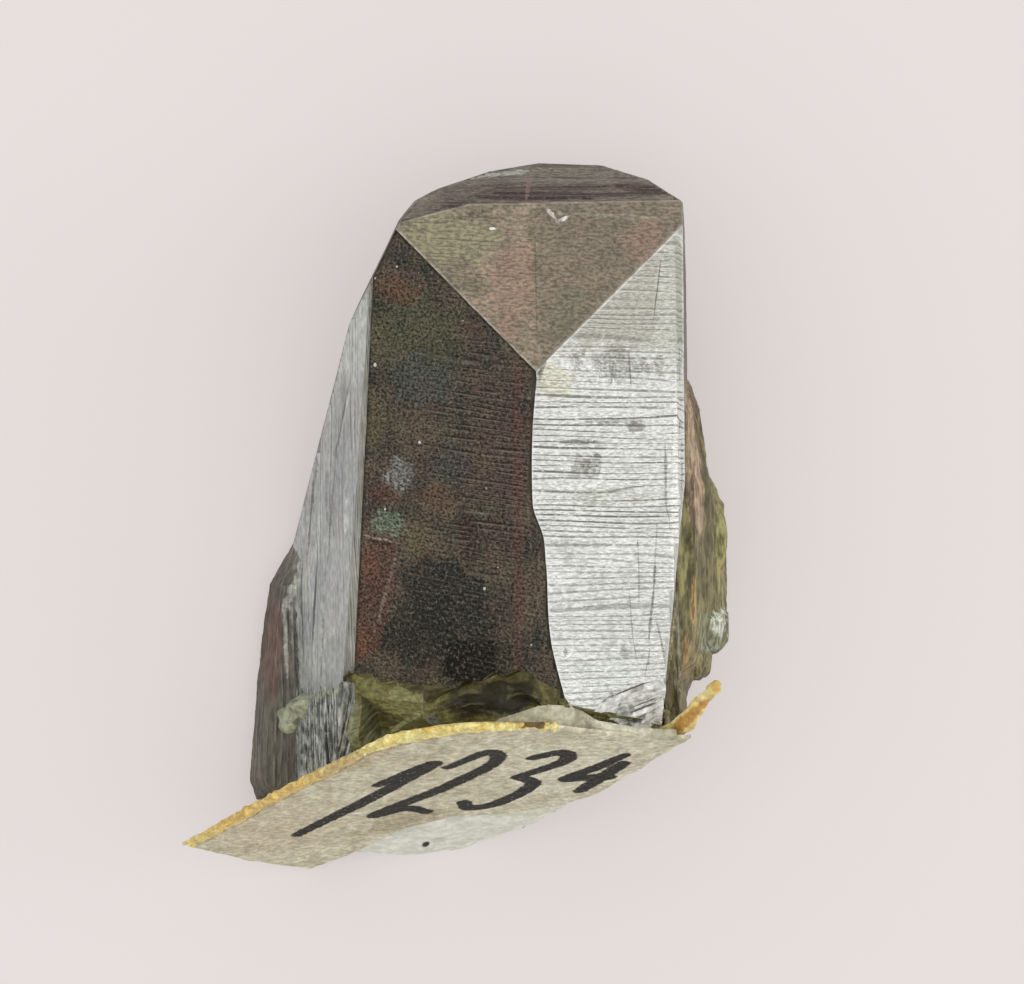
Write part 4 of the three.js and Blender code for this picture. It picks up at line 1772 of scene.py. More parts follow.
    @staticmethod
    def specks_group() -> bpy.types.NodeTree:
        """Tiny scattered flecks of many sizes."""
        tree, bench, given = Effects.new_group(
            "specks", {"Place": "Vector", "Count": "Float", "Share": "Float"}, {"Mask": "Float"}
        )
        cells = bench.add("ShaderNodeTexVoronoi", {"Vector": given["Place"], "Scale": given["Count"]})
        dice = bench.add("ShaderNodeSeparateColor", {0: cells.outputs["Color"]}).outputs
        chosen = bench.math("LESS_THAN", dice[0], given["Share"])
        size = bench.math("ADD", 0.06, bench.math("MULTIPLY", bench.math("POWER", dice[1], 3.0), 0.16))
        ragged = bench.math("MULTIPLY", bench.noise(given["Place"], 30.0, 2.0, 0.5), 0.08)
        away = bench.math("ADD", cells.outputs["Distance"], ragged)
        near = bench.between(bench.math("SUBTRACT", size, bench.math("SUBTRACT", away, 0.04)), 0.0, 0.03)
        bench.add("NodeGroupOutput", {"Mask": bench.math("MULTIPLY", chosen, near)})
        return tree

    @staticmethod
    def edge_wear_and_highlight_group() -> bpy.types.NodeTree:
        """Rims tinted in a finish's edge colour: partly wear and partly a painted highlight where the edges
        catch the light; on the dark face a dark line.
        """
        tree, bench, given = Effects.new_group(
            "edge_wear", {"Rim": "Float", "Width": "Float", "Place": "Vector"}, {"Mask": "Float"}
        )
        close = bench.math("SUBTRACT", 1.0, bench.math("DIVIDE", given["Rim"], given["Width"]))
        close = bench.add("ShaderNodeClamp", {0: close}).outputs[0]
        uneven = bench.between(bench.noise(given["Place"], 3.0, 4.0, 0.6), 0.35, 0.6, 0.25, 1.0)
        bench.add("NodeGroupOutput", {"Mask": bench.math("MULTIPLY", close, uneven)})
        return tree


Colour = tuple[float, float, float]


def paint(colour: Colour) -> tuple[float, float, float, float]:
    """A colour with full alpha."""
    return (*colour, 1.0)


@dataclass(frozen=True)
class Patch:
    """A stain or a pale place on a face, in the face's own frame."""

    centre: tuple[float, float]
    reach: tuple[float, float]
    colour: Colour
    strength: float = 0.8
    ragged: float = 0.9
    turn: float = 0.0  # degrees anticlockwise
    soft: float = 0.4
    speck: float = 0.0

    def mask(self, bench: Bench, effects: Effects, grain: Socket, clouds: Clouds) -> Socket:
        """Where the patch shows.

        Args:
            bench: adds the nodes.
            effects: the shared groups.
            grain: places in the face's frame.
            clouds: the finish's clouds and noises.

        Returns:
            The mask, with the patch's strength in it.
        """
        inputs = {
            "Grain": grain,
            "Centre": (*self.centre, 0.0),
            "Reach": (*self.reach, 1e6),
            "Turn": math.radians(-self.turn),
            "Ragged": self.ragged,
            "Soft": self.soft,
            "Speck": self.speck,
            "Torn": clouds["Torn"],
            "Dots": clouds["Dots"],
        }
        return bench.math("MULTIPLY", bench.group(effects.patch, inputs).outputs[0], self.strength)


def stained(
    bench: Bench, effects: Effects, grain: Socket, clouds: Clouds, colour: Socket, patches: Sequence[Patch]
) -> Socket:
    """A colour with patches laid over it, the last one on top.

    Args:
        bench: adds the nodes.
        effects: the shared groups.
        grain: places in the face's frame.
        clouds: the finish's clouds and noises.
        colour: what lies below.
        patches: the stains and pale places.

    Returns:
        The stained colour.
    """
    for patch in patches:
        colour = bench.mix(patch.mask(bench, effects, grain, clouds), colour, paint(patch.colour))
    return colour


@dataclass(frozen=True)
class Ground:
    """What every finish starts from.

    Attributes:
        material: the new material.
        bench: adds its nodes.
        place: places in millimetres.
        grain: places in the face's frame.
        clouds: its clouds and noises.
        colour: its clouds of colour, with stains and grain.
    """

    material: bpy.types.Material
    bench: Bench
    place: Socket
    grain: Socket
    clouds: Clouds
    colour: Socket

    @classmethod
    def of(cls, finish: "CrystalFinish | SoftFinish", effects: Effects) -> "Ground":
        """Starts a finish's material.

        Args:
            finish: the finish.
            effects: the shared groups.

        Returns:
            What the finish builds on.
        """
        material = bpy.data.materials.new(finish.name)
        material.use_nodes = True
        tree = material.node_tree
        tree.nodes.clear()
        bench = Bench(tree)
        where = bench.add("ShaderNodeTexCoord").outputs["Object"]
        place = bench.add("ShaderNodeMapping", {0: where, "Scale": (1 / MM,) * 3}).outputs[0]
        grain = bench.add("ShaderNodeAttribute", attribute_name="grain").outputs["Vector"]
        weave = (*finish.weave, finish.weave[0])
        inputs = {"Place": place, "Size": finish.cloud, "Grain": grain, "Weave": weave}
        clouds = bench.group(effects.mottle, inputs).outputs
        colour = bench.mix(clouds["Slow"], paint(finish.deep), paint(finish.body))
        veil = bench.math("MULTIPLY", clouds["Other"], finish.tint_strength)
        colour = bench.mix(veil, colour, paint(finish.tint))
        colour = stained(bench, effects, grain, clouds, colour, finish.patches)
        shade = bench.between(clouds["Fine"], 0.0, 1.0, 1 - finish.contrast, 1 + finish.contrast)
        colour = bench.vector("MULTIPLY", colour, bench.pack(shade))
        return cls(material, bench, place, grain, clouds, colour)


@dataclass(frozen=True)
class CrystalFinish:
    """The finish of one kind of crystal face.

    Attributes:
        name: the material's name.
        deep: its darkest colour.
        body: its usual colour.
        tint: the colour of its second clouds.
        line: the colour of its growth lines.
        line_strength: how strongly they show.
        bands: where they show best, if not everywhere.
        faint: how much of them shows elsewhere.
        light: the colour of the pale lines beside them, a painted highlight, and of the painted glints.
        light_strength: how strongly those show.
        lines: growth lines for each millimetre.
        length: how long they are, in millimetres.
        cover: how much of the face they cover, above or below 0.
        lean: how much more of it they cover towards the right.
        upright: whether they run along the crystal instead of across.
        weave: how many grains there are for each millimetre across and along the face.
        contrast: how strongly the grain shows.
        sparkle: how strongly fine painted glints show, as pale dots.
        cloud: the size of its clouds, in millimetres.
        tint_strength: how strongly the second clouds show.
        roughness: of its surface.
        metallic: how silvery it looks.
        gloss: how much of the sky it mirrors.
        bump: depth of the finest relief, in millimetres.
        fleck: the colour of its flecks.
        flecks: the share of cells with a fleck.
        edge: the colour of its edges, partly wear and partly a painted highlight; dark on the dark face.
        edge_width: how wide they are, in millimetres.
        edge_strength: how strongly they show.
        patches: its stains and pale places.
    """

    name: str
    deep: Colour
    body: Colour
    tint: Colour
    line: Colour
    line_strength: float = 0.5
    bands: Patch | None = None
    faint: float = 0.3
    light: Colour = (0.4, 0.36, 0.28)
    light_strength: float = 0.2
    lines: float = 12.0
    length: float = 1.6
    cover: float = 0.0
    lean: float = 0.0
    upright: bool = False
    weave: tuple[float, float] = (9.0, 22.0)
    contrast: float = 0.35
    sparkle: float = 0.0
    cloud: float = 1.2
    tint_strength: float = 0.5
    roughness: float = 0.4
    metallic: float = 0.0
    gloss: float = 0.25
    bump: float = 0.01
    fleck: Colour = (0.7, 0.7, 0.62)
    flecks: float = 0.012
    edge: Colour = (0.4, 0.36, 0.28)
    edge_width: float = 0.05
    edge_strength: float = 0.4
    patches: tuple[Patch, ...] = ()

    def build(self, effects: Effects) -> bpy.types.Material:
        """Makes the material.

        Args:
            effects: the shared groups.

        Returns:
            The material.
        """
        ground = Ground.of(self, effects)
        bench, place, grain, clouds = ground.bench, ground.place, ground.grain, ground.clouds
        rim = bench.add("ShaderNodeAttribute", attribute_name="rim").outputs["Fac"]
        flow = grain
        if self.upright:
            parts = bench.add("ShaderNodeSeparateXYZ", {0: grain}).outputs
            aside = bench.math("ADD", parts[0], bench.math("MULTIPLY", parts[2], 0.8))
            flow = bench.add("ShaderNodeCombineXYZ", {0: parts[1], 1: aside}).outputs[0]
        inputs = {
            "Flow": flow,
            "Lines": self.lines,
            "Length": self.length,
            "Cover": self.cover,
            "Lean": self.lean,
        }
        ruled = dict(bench.group(effects.striation, inputs).outputs.items())
        if self.bands:
            best = self.bands.mask(bench, effects, grain, clouds)
            best = bench.between(best, 0.0, 1.0, self.faint, 1.0)
            ruled = {key: bench.math("MULTIPLY", socket, best) for key, socket in ruled.items()}
        colour = ground.colour
        # Painted glints: fine pale dots in the light colour.
        if self.sparkle:
            spark = bench.math("MULTIPLY", clouds["Spark"], self.sparkle)
            colour = bench.mix(spark, colour, paint(self.light))
        dark = bench.math("MULTIPLY", ruled["Dark"], self.line_strength)
        colour = bench.mix(dark, colour, paint(self.line))
        # Painted highlight: the pale lines beside the growth lines.
        pale = bench.math("MULTIPLY", ruled["Pale"], self.light_strength)
        colour = bench.mix(pale, colour, paint(self.light))
        flecks = bench.group(effects.specks, {"Place": place, "Count": 5.0, "Share": self.flecks}).outputs[0]
        colour = bench.mix(bench.math("MULTIPLY", flecks, 0.85), colour, paint(self.fleck))
        # Rim colour: partly wear, partly a painted highlight along the edges that catch the light.
        edge_wear_and_highlight_mask = bench.group(effects.edge_wear_and_highlight, {"Rim": rim, "Width": self.edge_width, "Place": place}).outputs[0]
        colour = bench.mix(bench.math("MULTIPLY", edge_wear_and_highlight_mask, self.edge_strength), colour, paint(self.edge))
        rough = bench.math("ADD", self.roughness, bench.math("MULTIPLY", clouds["Fine"], 0.16))
        height = bench.math("ADD", ruled["Height"], bench.math("MULTIPLY", clouds["Fine"], 0.3))
        bump = bench.add("ShaderNodeBump", {"Height": height, "Distance": self.bump * MM, "Strength": 1.0})
        shader = bench.add(
            "ShaderNodeBsdfPrincipled",
            {
                "Base Color": colour,
                "Roughness": rough,
                "Metallic": self.metallic,
                "Specular IOR Level": self.gloss,
                "Normal": bump.outputs[0],
            },
        )
        bench.add("ShaderNodeOutputMaterial", {0: shader.outputs[0]})
        return ground.material


@dataclass(frozen=True)
class SoftFinish:
    """The finish of the plaster, the glue, the paper and the floor.

    Attributes:
        name: the material's name.
        deep: its darker colour.
        body: its usual colour.
        tint: the colour of its stains.
        tint_strength: how strongly they show.
        cloud: the size of its clouds, in millimetres.
        roughness: of its surface.
        soft: how much light goes into it.
        bump: depth of the finest relief, in millimetres.
        weave: how many grains there are for each millimetre, across and along.
        contrast: how strongly the grain shows.
        fibre: the colour of its fibres.
        fibres: how strongly they show.
        ink: the colour of the ink, on paper that has some.
        glow: light that the floor gives off by itself, so that shadows on it stay faint.
        patches: its stains.
    """

    name: str
    deep: Colour
    body: Colour
    tint: Colour
    tint_strength: float = 0.4
    cloud: float = 0.8
    roughness: float = 0.85
    soft: float = 0.0
    bump: float = 0.01
    weave: tuple[float, float] = (7.0, 7.0)
    contrast: float = 0.1
    fibre: Colour = (0.3, 0.25, 0.18)
    fibres: float = 0.0
    ink: Colour | None = None
    glow: Colour = (0.0, 0.0, 0.0)
    patches: tuple[Patch, ...] = ()

    def build(self, effects: Effects) -> bpy.types.Material:
        """Makes the material.

        Args:
            effects: the shared groups.

        Returns:
            The material.
        """
        ground = Ground.of(self, effects)
        bench, place, grain, clouds = ground.bench, ground.place, ground.grain, ground.clouds
        colour = ground.colour
        height = clouds["Fine"]
        if self.fibres:
            strands = bench.noise(bench.vector("MULTIPLY", grain, (4.5, 6.5, 4.5)), 1.0, 5.0, 0.7)
            thin = bench.between(strands, 0.52, 0.66)
            colour = bench.mix(bench.math("MULTIPLY", thin, self.fibres), colour, paint(self.fibre))
            height = bench.math("ADD", height, thin)
        rough: Socket | float = bench.math(
            "ADD", self.roughness - 0.06, bench.math("MULTIPLY", clouds["Fine"], 0.12)
        )
        if self.ink:
            edge = bench.add("ShaderNodeAttribute", attribute_name="ink").outputs["Fac"]
            bleed = bench.math("SUBTRACT", bench.noise(place, 9.0, 4.0, 0.7), 0.5)
            edge = bench.math("ADD", edge, bench.math("MULTIPLY", bleed, 0.12))
            wet = bench.between(edge, -0.025, 0.02, 1.0, 0.0)
            dry = bench.between(bench.noise(place, 16.0, 3.0, 0.6), 0.3, 0.42, 0.75, 1.0)
            colour = bench.mix(bench.math("MULTIPLY", wet, dry), colour, paint(self.ink))
            rough = bench.math("SUBTRACT", rough, bench.math("MULTIPLY", wet, 0.25))
        bump = bench.add("ShaderNodeBump", {"Height": height, "Distance": self.bump * MM, "Strength": 1.0})
        shader = bench.add(
            "ShaderNodeBsdfPrincipled",
            {
                "Base Color": colour,
                "Roughness": rough,
                "Subsurface Weight": self.soft,
                "Subsurface Radius": (0.0003, 0.0002, 0.0001),
                "Specular IOR Level": 0.3,
                "Emission Color": paint(self.glow),
                "Emission Strength": float(any(self.glow)),
                "Normal": bump.outputs[0],
            },
        )
        bench.add("ShaderNodeOutputMaterial", {0: shader.outputs[0]})
        return ground.material


DARK_FINISH = CrystalFinish(
    "dark_prism_face",
    deep=(0.026, 0.031, 0.026), body=(0.11, 0.092, 0.06), tint=(0.095, 0.056, 0.045),
    line=(0.014, 0.012, 0.009), line_strength=0.75, light=(0.25, 0.22, 0.175), light_strength=0.5,
    lines=10.0, length=0.6, cover=0.0, lean=0.03,
    bands=Patch((1.3, 0.9), (1.9, 3.3), (0.0, 0.0, 0.0), 1.0, 0.5, soft=0.8),
    faint=0.25, cloud=0.7, weave=(15.0, 23.0), contrast=0.75, sparkle=0.55, roughness=0.45, gloss=0.1,
    flecks=0.09, edge=(0.01, 0.009, 0.007), edge_width=0.08, edge_strength=0.9,
    patches=(
        Patch((-0.2, 2.9), (1.3, 1.0), (0.075, 0.085, 0.042), 0.6, 1.2, speck=0.3),
        Patch((-0.1, 2.2), (0.9, 0.55), (0.055, 0.065, 0.068), 0.7, 1.2, speck=0.4),
        Patch((-1.2, 1.35), (0.4, 0.6), (0.11, 0.1, 0.045), 0.45, 1.2, speck=0.4),
        Patch((0.7, 0.75), (0.6, 0.4), (0.045, 0.05, 0.055), 0.6, 1.2, speck=0.3),
        Patch((1.9, 1.2), (0.75, 1.4), (0.085, 0.05, 0.045), 0.6, 1.2, speck=0.4),
        Patch((-0.52, 0.42), (0.42, 0.42), (0.25, 0.26, 0.25), 0.75, 1.2, speck=0.75),
        Patch((-0.85, 0.05), (0.45, 0.2), (0.09, 0.04, 0.03), 0.7, 1.0, speck=0.3),
        Patch((0.45, 0.1), (0.5, 0.35), (0.13, 0.075, 0.045), 0.6, 1.2, speck=0.3),
        Patch((-0.72, -0.5), (0.48, 0.3), (0.2, 0.28, 0.19), 0.75, 1.2, speck=0.75),
        Patch((0.1, -0.7), (0.5, 0.4), (0.14, 0.11, 0.06), 0.6, 1.4, speck=0.5),
        Patch((1.15, -0.45), (0.3, 0.55), (0.05, 0.022, 0.02), 0.7, 1.0, speck=0.3),
        Patch((0.75, -1.7), (1.3, 1.0), (0.018, 0.021, 0.019), 0.95, 0.9, speck=0.2),
        Patch((0.1, -2.5), (1.2, 0.6), (0.02, 0.022, 0.017), 0.9, 0.8, speck=0.2),
        Patch((1.5, -2.7), (1.2, 0.5), (0.007, 0.007, 0.005), 0.95, 0.9, 14.0),
        Patch((2.2, -2.5), (0.35, 0.7), (0.06, 0.055, 0.035), 0.7, 0.9, speck=0.3),
        Patch((2.32, -0.4), (0.16, 6.0), (0.11, 0.052, 0.042), 0.6, 0.4, 3.0, speck=0.35),
        Patch((-1.0, -1.85), (0.48, 1.4), (0.095, 0.045, 0.033), 0.9, 0.4, -13.0, 0.25, 0.35),
        Patch((-1.3, -2.75), (0.3, 0.45), (0.17, 0.07, 0.042), 0.8, 1.3, -8.0, speck=0.6),
        Patch((-1.16, -1.3), (0.3, 0.4), (0.16, 0.07, 0.046), 0.75, 1.3, speck=0.6),
        Patch((-0.95, -0.78), (0.5, 0.03), (0.36, 0.3, 0.24), 0.85, 0.7, -3.0, speck=0.5),
        Patch((-0.95, -0.85), (0.5, 0.035), (0.03, 0.012, 0.01), 0.9, 0.5, -3.0, speck=0.3),
        Patch((-0.72, -1.75), (0.05, 1.0), (0.24, 0.2, 0.16), 0.65, 1.0, -17.0, speck=0.5),
        Patch((-0.7, 3.75), (0.6, 0.3), (0.12, 0.06, 0.035), 0.7, 1.0, speck=0.3),
    ),
)
# The silvery face: its pale body is partly its own silvery tone and partly a painted reflection of the sheen,
# and its pale edges are a painted highlight.
SILVER_FINISH = CrystalFinish(
    "silver_prism_face",
    deep=(0.68, 0.69, 0.65), body=(0.8, 0.8, 0.77), tint=(0.62, 0.63, 0.58), line=(0.15, 0.15, 0.12),
    line_strength=0.95, light=(0.88, 0.88, 0.86), light_strength=0.6, lines=8.6, length=1.3, cover=0.17,
    lean=-0.05,
    bands=Patch((-0.1, 0.45), (9.0, 1.75), (0.0, 0.0, 0.0), 1.0, 0.35, soft=0.6),
    faint=0.55, cloud=0.8, tint_strength=0.6, weave=(9.0, 34.0), contrast=0.32, roughness=0.36,
    metallic=0.2, gloss=0.4, bump=0.012, flecks=0.0, edge=(0.88, 0.88, 0.85), edge_width=0.055,
    edge_strength=0.85,
    patches=(
        # Painted shade: the top of the face, where the sheen falls off.
        Patch((0.9, 4.05), (9.0, 1.9), (0.4, 0.39, 0.32), 0.85, 0.5, soft=0.3),
        Patch((1.75, 3.1), (0.5, 1.6), (0.6, 0.6, 0.53), 0.6, 1.0),
        Patch((0.1, -2.3), (1.7, 1.2), (0.56, 0.57, 0.53), 0.55, 1.4, soft=0.8, speck=0.3),
        Patch((0.5, -0.15), (1.1, 0.2), (0.4, 0.4, 0.33), 0.65, 1.8, speck=0.6),
        Patch((-0.5, -1.0), (0.7, 0.14), (0.42, 0.42, 0.36), 0.6, 1.8, speck=0.6),
        Patch((0.9, -1.5), (0.02, 0.8), (0.25, 0.25, 0.2), 0.8, 1.5, 2.0, speck=0.4),
        Patch((1.25, -1.3), (0.02, 0.9), (0.3, 0.3, 0.25), 0.8, 1.5, -5.0, speck=0.4),
        Patch((1.4, -2.9), (0.034, 0.6), (0.2, 0.2, 0.16), 0.8, 1.5, 14.0, speck=0.3),
        Patch((1.05, -3.1), (0.02, 0.5), (0.2, 0.2, 0.16), 0.8, 1.5, -16.0, speck=0.3),
        Patch((0.5, 2.2), (1.1, 0.3), (0.2, 0.2, 0.16), 0.75, 1.8, speck=0.75),
        Patch((0.75, 2.15), (0.03, 0.4), (0.12, 0.12, 0.1), 0.8, 1.6, 4.0, speck=0.3),
        Patch((0.35, 2.0), (0.03, 0.3), (0.12, 0.12, 0.1), 0.7, 1.6, -8.0, speck=0.3),
        Patch((-1.27, 2.05), (0.12, 0.6), (0.075, 0.065, 0.048), 0.95, 0.3, -25.0),
        Patch((0.08, 0.36), (0.2, 0.3), (0.16, 0.155, 0.12), 0.8, 1.8, speck=0.6),
        Patch((-0.22, 0.4), (0.22, 0.26), (0.22, 0.21, 0.17), 0.7, 1.8, speck=0.6),
        Patch((-0.25, 0.82), (0.5, 0.05), (0.12, 0.12, 0.09), 0.8, 1.6, speck=0.3),
        Patch((0.35, 1.2), (0.9, 0.06), (0.2, 0.2, 0.16), 0.7, 1.6, speck=0.4),
        Patch((0.95, 1.08), (0.18, 0.1), (0.16, 0.155, 0.12), 0.7, 1.6),
        Patch((-0.9, 1.9), (0.5, 0.35), (0.62, 0.6, 0.42), 0.6, 1.2),
        Patch((1.74, -0.2), (0.1, 3.0), (0.88, 0.86, 0.8), 0.85, 0.3, -2.0),
        Patch((1.55, 0.1), (0.03, 1.1), (0.2, 0.2, 0.17), 0.75, 1.0, 3.0, speck=0.35),
        Patch((1.39, 3.55), (0.02, 0.75), (0.14, 0.13, 0.1), 0.8, 0.8, -10.0),
        Patch((1.17, -2.2), (0.036, 0.95), (0.15, 0.15, 0.12), 0.85, 1.2, -6.0, speck=0.3),
        Patch((0.78, -2.45), (0.02, 0.8), (0.2, 0.2, 0.17), 0.7, 1.4, 5.0, speck=0.45),
        Patch((0.6, -2.9), (0.14, 0.2), (0.26, 0.26, 0.22), 0.7, 1.8, speck=0.5),
        Patch((-0.62, -2.9), (0.06, 0.1), (0.25, 0.25, 0.2), 0.7, 1.8),
        Patch((0.2, -3.3), (0.9, 0.35), (0.66, 0.68, 0.64), 0.7, 1.0),
    ),
)
BROKEN_FINISH = CrystalFinish(
    "silver_broken_corner",
    deep=(0.6, 0.61, 0.57), body=(0.84, 0.84, 0.8), tint=(0.5, 0.48, 0.42), line=(0.1, 0.095, 0.075),
    line_strength=0.9, light=(0.88, 0.88, 0.86), light_strength=0.8, lines=5.0, length=0.5, cover=-0.06,
    cloud=0.35, weave=(8.0, 16.0), contrast=0.25, roughness=0.35, metallic=0.15, flecks=0.0, bump=0.02,
    patches=(
        Patch((-0.18, -3.68), (0.22, 0.07), (0.2, 0.19, 0.15), 0.8, 0.8, speck=0.4),
        Patch((-0.15, -3.63), (0.8, 0.02), (0.05, 0.045, 0.035), 0.9, 0.8),
        Patch((-0.05, -4.04), (0.4, 0.025), (0.05, 0.045, 0.035), 0.9, 0.6),
        Patch((-0.05, -3.96), (0.36, 0.02), (0.1, 0.095, 0.08), 0.8, 0.6),
        Patch((-0.55, -3.95), (0.25, 0.16), (0.1, 0.1, 0.07), 0.7, 1.4, speck=0.5),
        Patch((-0.35, -4.22), (0.3, 0.1), (0.05, 0.05, 0.03), 0.8, 1.4, speck=0.5),
    ),
)
# The roof's pale edge colour is partly wear and partly a painted highlight along its lit rims.
ROOF_FINISH = CrystalFinish(
    "roof_face",
    deep=(0.14, 0.12, 0.088), body=(0.38, 0.295, 0.21), tint=(0.19, 0.18, 0.12), line=(0.13, 0.095, 0.07),
    line_strength=0.5, light=(0.46, 0.38, 0.29), light_strength=0.35, lines=11.0, length=0.7, cover=-0.05,
    lean=-0.04, cloud=0.42, tint_strength=0.6, weave=(10.0, 16.0), contrast=0.36, sparkle=0.4,
    roughness=0.45, fleck=(0.8, 0.78, 0.7), flecks=0.012, edge=(0.6, 0.56, 0.46), edge_strength=0.7,
    patches=(
        Patch((-0.9, 2.6), (1.0, 0.7), (0.3, 0.28, 0.17), 0.75, 1.2),
        Patch((-0.7, 3.1), (0.5, 0.05), (0.14, 0.13, 0.09), 0.6, 1.4, 20.0, speck=0.4),
        Patch((0.3, 1.6), (0.45, 1.3), (0.36, 0.23, 0.17), 0.55, 1.2),
        Patch((2.68, 1.9), (2.0, 14.0), (0.2, 0.165, 0.125), 0.6, 0.06, 3.9, 0.08),
        Patch((2.6, 2.8), (0.45, 0.6), (0.3, 0.2, 0.15), 0.6, 1.2),
        Patch((1.3, 1.1), (0.4, 0.7), (0.16, 0.16, 0.11), 0.6, 1.2),
        Patch((2.0, 3.35), (1.2, 0.05), (0.4, 0.38, 0.3), 0.45, 1.4, speck=0.6),
        Patch((0.71, 1.6), (0.016, 1.8), (0.12, 0.085, 0.06), 0.7, 0.7, 3.9, speck=0.3),
        Patch((0.9, 3.32), (0.05, 0.16), (0.75, 0.74, 0.68), 0.85, 1.0, 40.0, speck=0.3),
        Patch((1.1, 3.22), (0.14, 0.05), (0.8, 0.79, 0.74), 0.85, 1.0, 25.0, speck=0.4),
        Patch((-0.15, 2.9), (0.07, 0.04), (0.85, 0.85, 0.8), 0.9, 0.6),
    ),
)
CROWN_FINISH = CrystalFinish(
    "crown_face",
    deep=(0.08, 0.07, 0.055), body=(0.23, 0.2, 0.155), tint=(0.13, 0.09, 0.07), line=(0.035, 0.016, 0.013),
    line_strength=0.7, light=(0.34, 0.33, 0.27), light_strength=0.4, lines=5.0, length=0.9, cover=0.0,
    cloud=0.6, weave=(9.0, 20.0), contrast=0.5, sparkle=0.3, roughness=0.5, flecks=0.02,
    patches=(
        Patch((1.0, 2.3), (2.4, 0.6), (0.2, 0.19, 0.15), 0.6, 1.0),
        Patch((-0.1, 2.35), (1.1, 0.2), (0.52, 0.53, 0.46), 0.8, 1.2, 22.0, speck=0.4),
        Patch((0.2, 1.7), (1.0, 0.1), (0.07, 0.06, 0.045), 0.8, 1.0, 14.0, speck=0.2),
        Patch((0.9, 1.45), (1.5, 0.22), (0.085, 0.038, 0.03), 0.85, 1.2, 6.0, speck=0.3),
        Patch((2.8, 1.6), (0.7, 0.3), (0.07, 0.026, 0.02), 0.9, 0.8, -14.0, speck=0.3),
        Patch((0.8, 1.05), (1.4, 0.42), (0.035, 0.012, 0.01), 0.96, 0.8, 3.0, speck=0.15),
        Patch((2.5, 1.2), (1.6, 0.17), (0.022, 0.01, 0.008), 0.95, 0.8, 7.0),
        Patch((3.0, 1.5), (0.5, 0.3), (0.04, 0.022, 0.014), 0.9, 0.8),
        Patch((1.2, 1.62), (1.6, 0.06), (0.03, 0.014, 0.011), 0.85, 1.0, 5.0),
        Patch((0.7, 1.6), (0.05, 1.0), (0.3, 0.18, 0.15), 0.6, 0.8, speck=0.3),
    ),
)
GREY_FINISH = CrystalFinish(
    "grey_side_face",
    deep=(0.36, 0.37, 0.355), body=(0.5, 0.505, 0.48), tint=(0.4, 0.42, 0.425), line=(0.14, 0.14, 0.12),
    line_strength=0.5, light=(0.66, 0.67, 0.64), light_strength=0.35, lines=7.0, length=1.6, cover=0.0,
    upright=True, weave=(12.0, 5.0), contrast=0.2, roughness=0.32, flecks=0.0, edge=(0.3, 0.3, 0.27),
    patches=(
        # Painted highlight: the paler top of the grey side, where it catches the light.
        Patch((-0.8, 3.0), (1.3, 1.3), (0.6, 0.62, 0.57), 0.75, 0.8, -20.0, 0.5),
        Patch((-2.35, 1.9), (0.22, 1.9), (0.68, 0.7, 0.64), 0.75, 0.6, -27.0, 0.6),
        Patch((-1.35, 0.7), (0.42, 1.9), (0.33, 0.335, 0.34), 0.75, 0.8, -12.0, 0.5, 0.2),
        Patch((-2.75, -0.3), (0.08, 1.1), (0.09, 0.09, 0.08), 0.85, 1.0, -14.0, 0.5, 0.3),
        Patch((-2.4, -0.6), (0.12, 1.2), (0.66, 0.67, 0.64), 0.6, 1.0, -10.0, 0.6, 0.3),
        Patch((-1.28, 1.3), (0.05, 1.1), (0.1, 0.1, 0.085), 0.85, 0.5, -28.0, 0.7),
        Patch((-1.05, 1.55), (0.05, 1.0), (0.68, 0.69, 0.64), 0.6, 0.5, -28.0, 0.8),
        Patch((-0.85, 1.4), (0.04, 1.0), (0.14, 0.14, 0.12), 0.8, 0.6, 2.0, 0.7),
        Patch((-1.75, -0.3), (0.06, 1.3), (0.12, 0.12, 0.1), 0.75, 1.0, -12.0, 0.7, 0.4),
        Patch((-1.25, -0.2), (0.06, 1.0), (0.16, 0.16, 0.15), 0.6, 1.0, -6.0, 0.7, 0.5),
        Patch((-1.05, -0.4), (0.09, 0.45), (0.72, 0.74, 0.72), 0.65, 0.9, -5.0, 0.7, 0.5),
        Patch((-2.62, -1.9), (0.055, 1.3), (0.07, 0.07, 0.055), 0.85, 0.5, -8.0, 0.6),
        Patch((-3.1, -1.75), (0.2, 0.55), (0.6, 0.61, 0.56), 0.6, 0.8, -14.0, 0.6),
        Patch((-2.3, -2.9), (0.06, 0.7), (0.05, 0.05, 0.04), 0.7, 1.0, -4.0, 0.6, 0.5),
        Patch((-0.9, -2.4), (0.4, 1.2), (0.5, 0.5, 0.43), 0.5, 0.8, soft=0.8),
    ),
)
STRIP_FINISH = CrystalFinish(
    "edge_strip_face",
    deep=(0.2, 0.2, 0.17), body=(0.42, 0.42, 0.37), tint=(0.26, 0.26, 0.2), line=(0.05, 0.05, 0.04),
    line_strength=0.8, light=(0.55, 0.55, 0.5), light_strength=0.6, lines=12.0, length=3.0, cover=0.05,
    upright=True, weave=(24.0, 2.0), contrast=0.25, roughness=0.35, flecks=0.0,
)
REAR_FINISH = CrystalFinish(
    "rear_face",
    deep=(0.06, 0.055, 0.04), body=(0.13, 0.105, 0.075), tint=(0.1, 0.075, 0.055),
    line=(0.03, 0.025, 0.018), line_strength=0.5, light=(0.22, 0.19, 0.14), light_strength=0.35, lines=7.0,
    length=1.4, cover=-0.04, cloud=1.6, roughness=0.55,
)
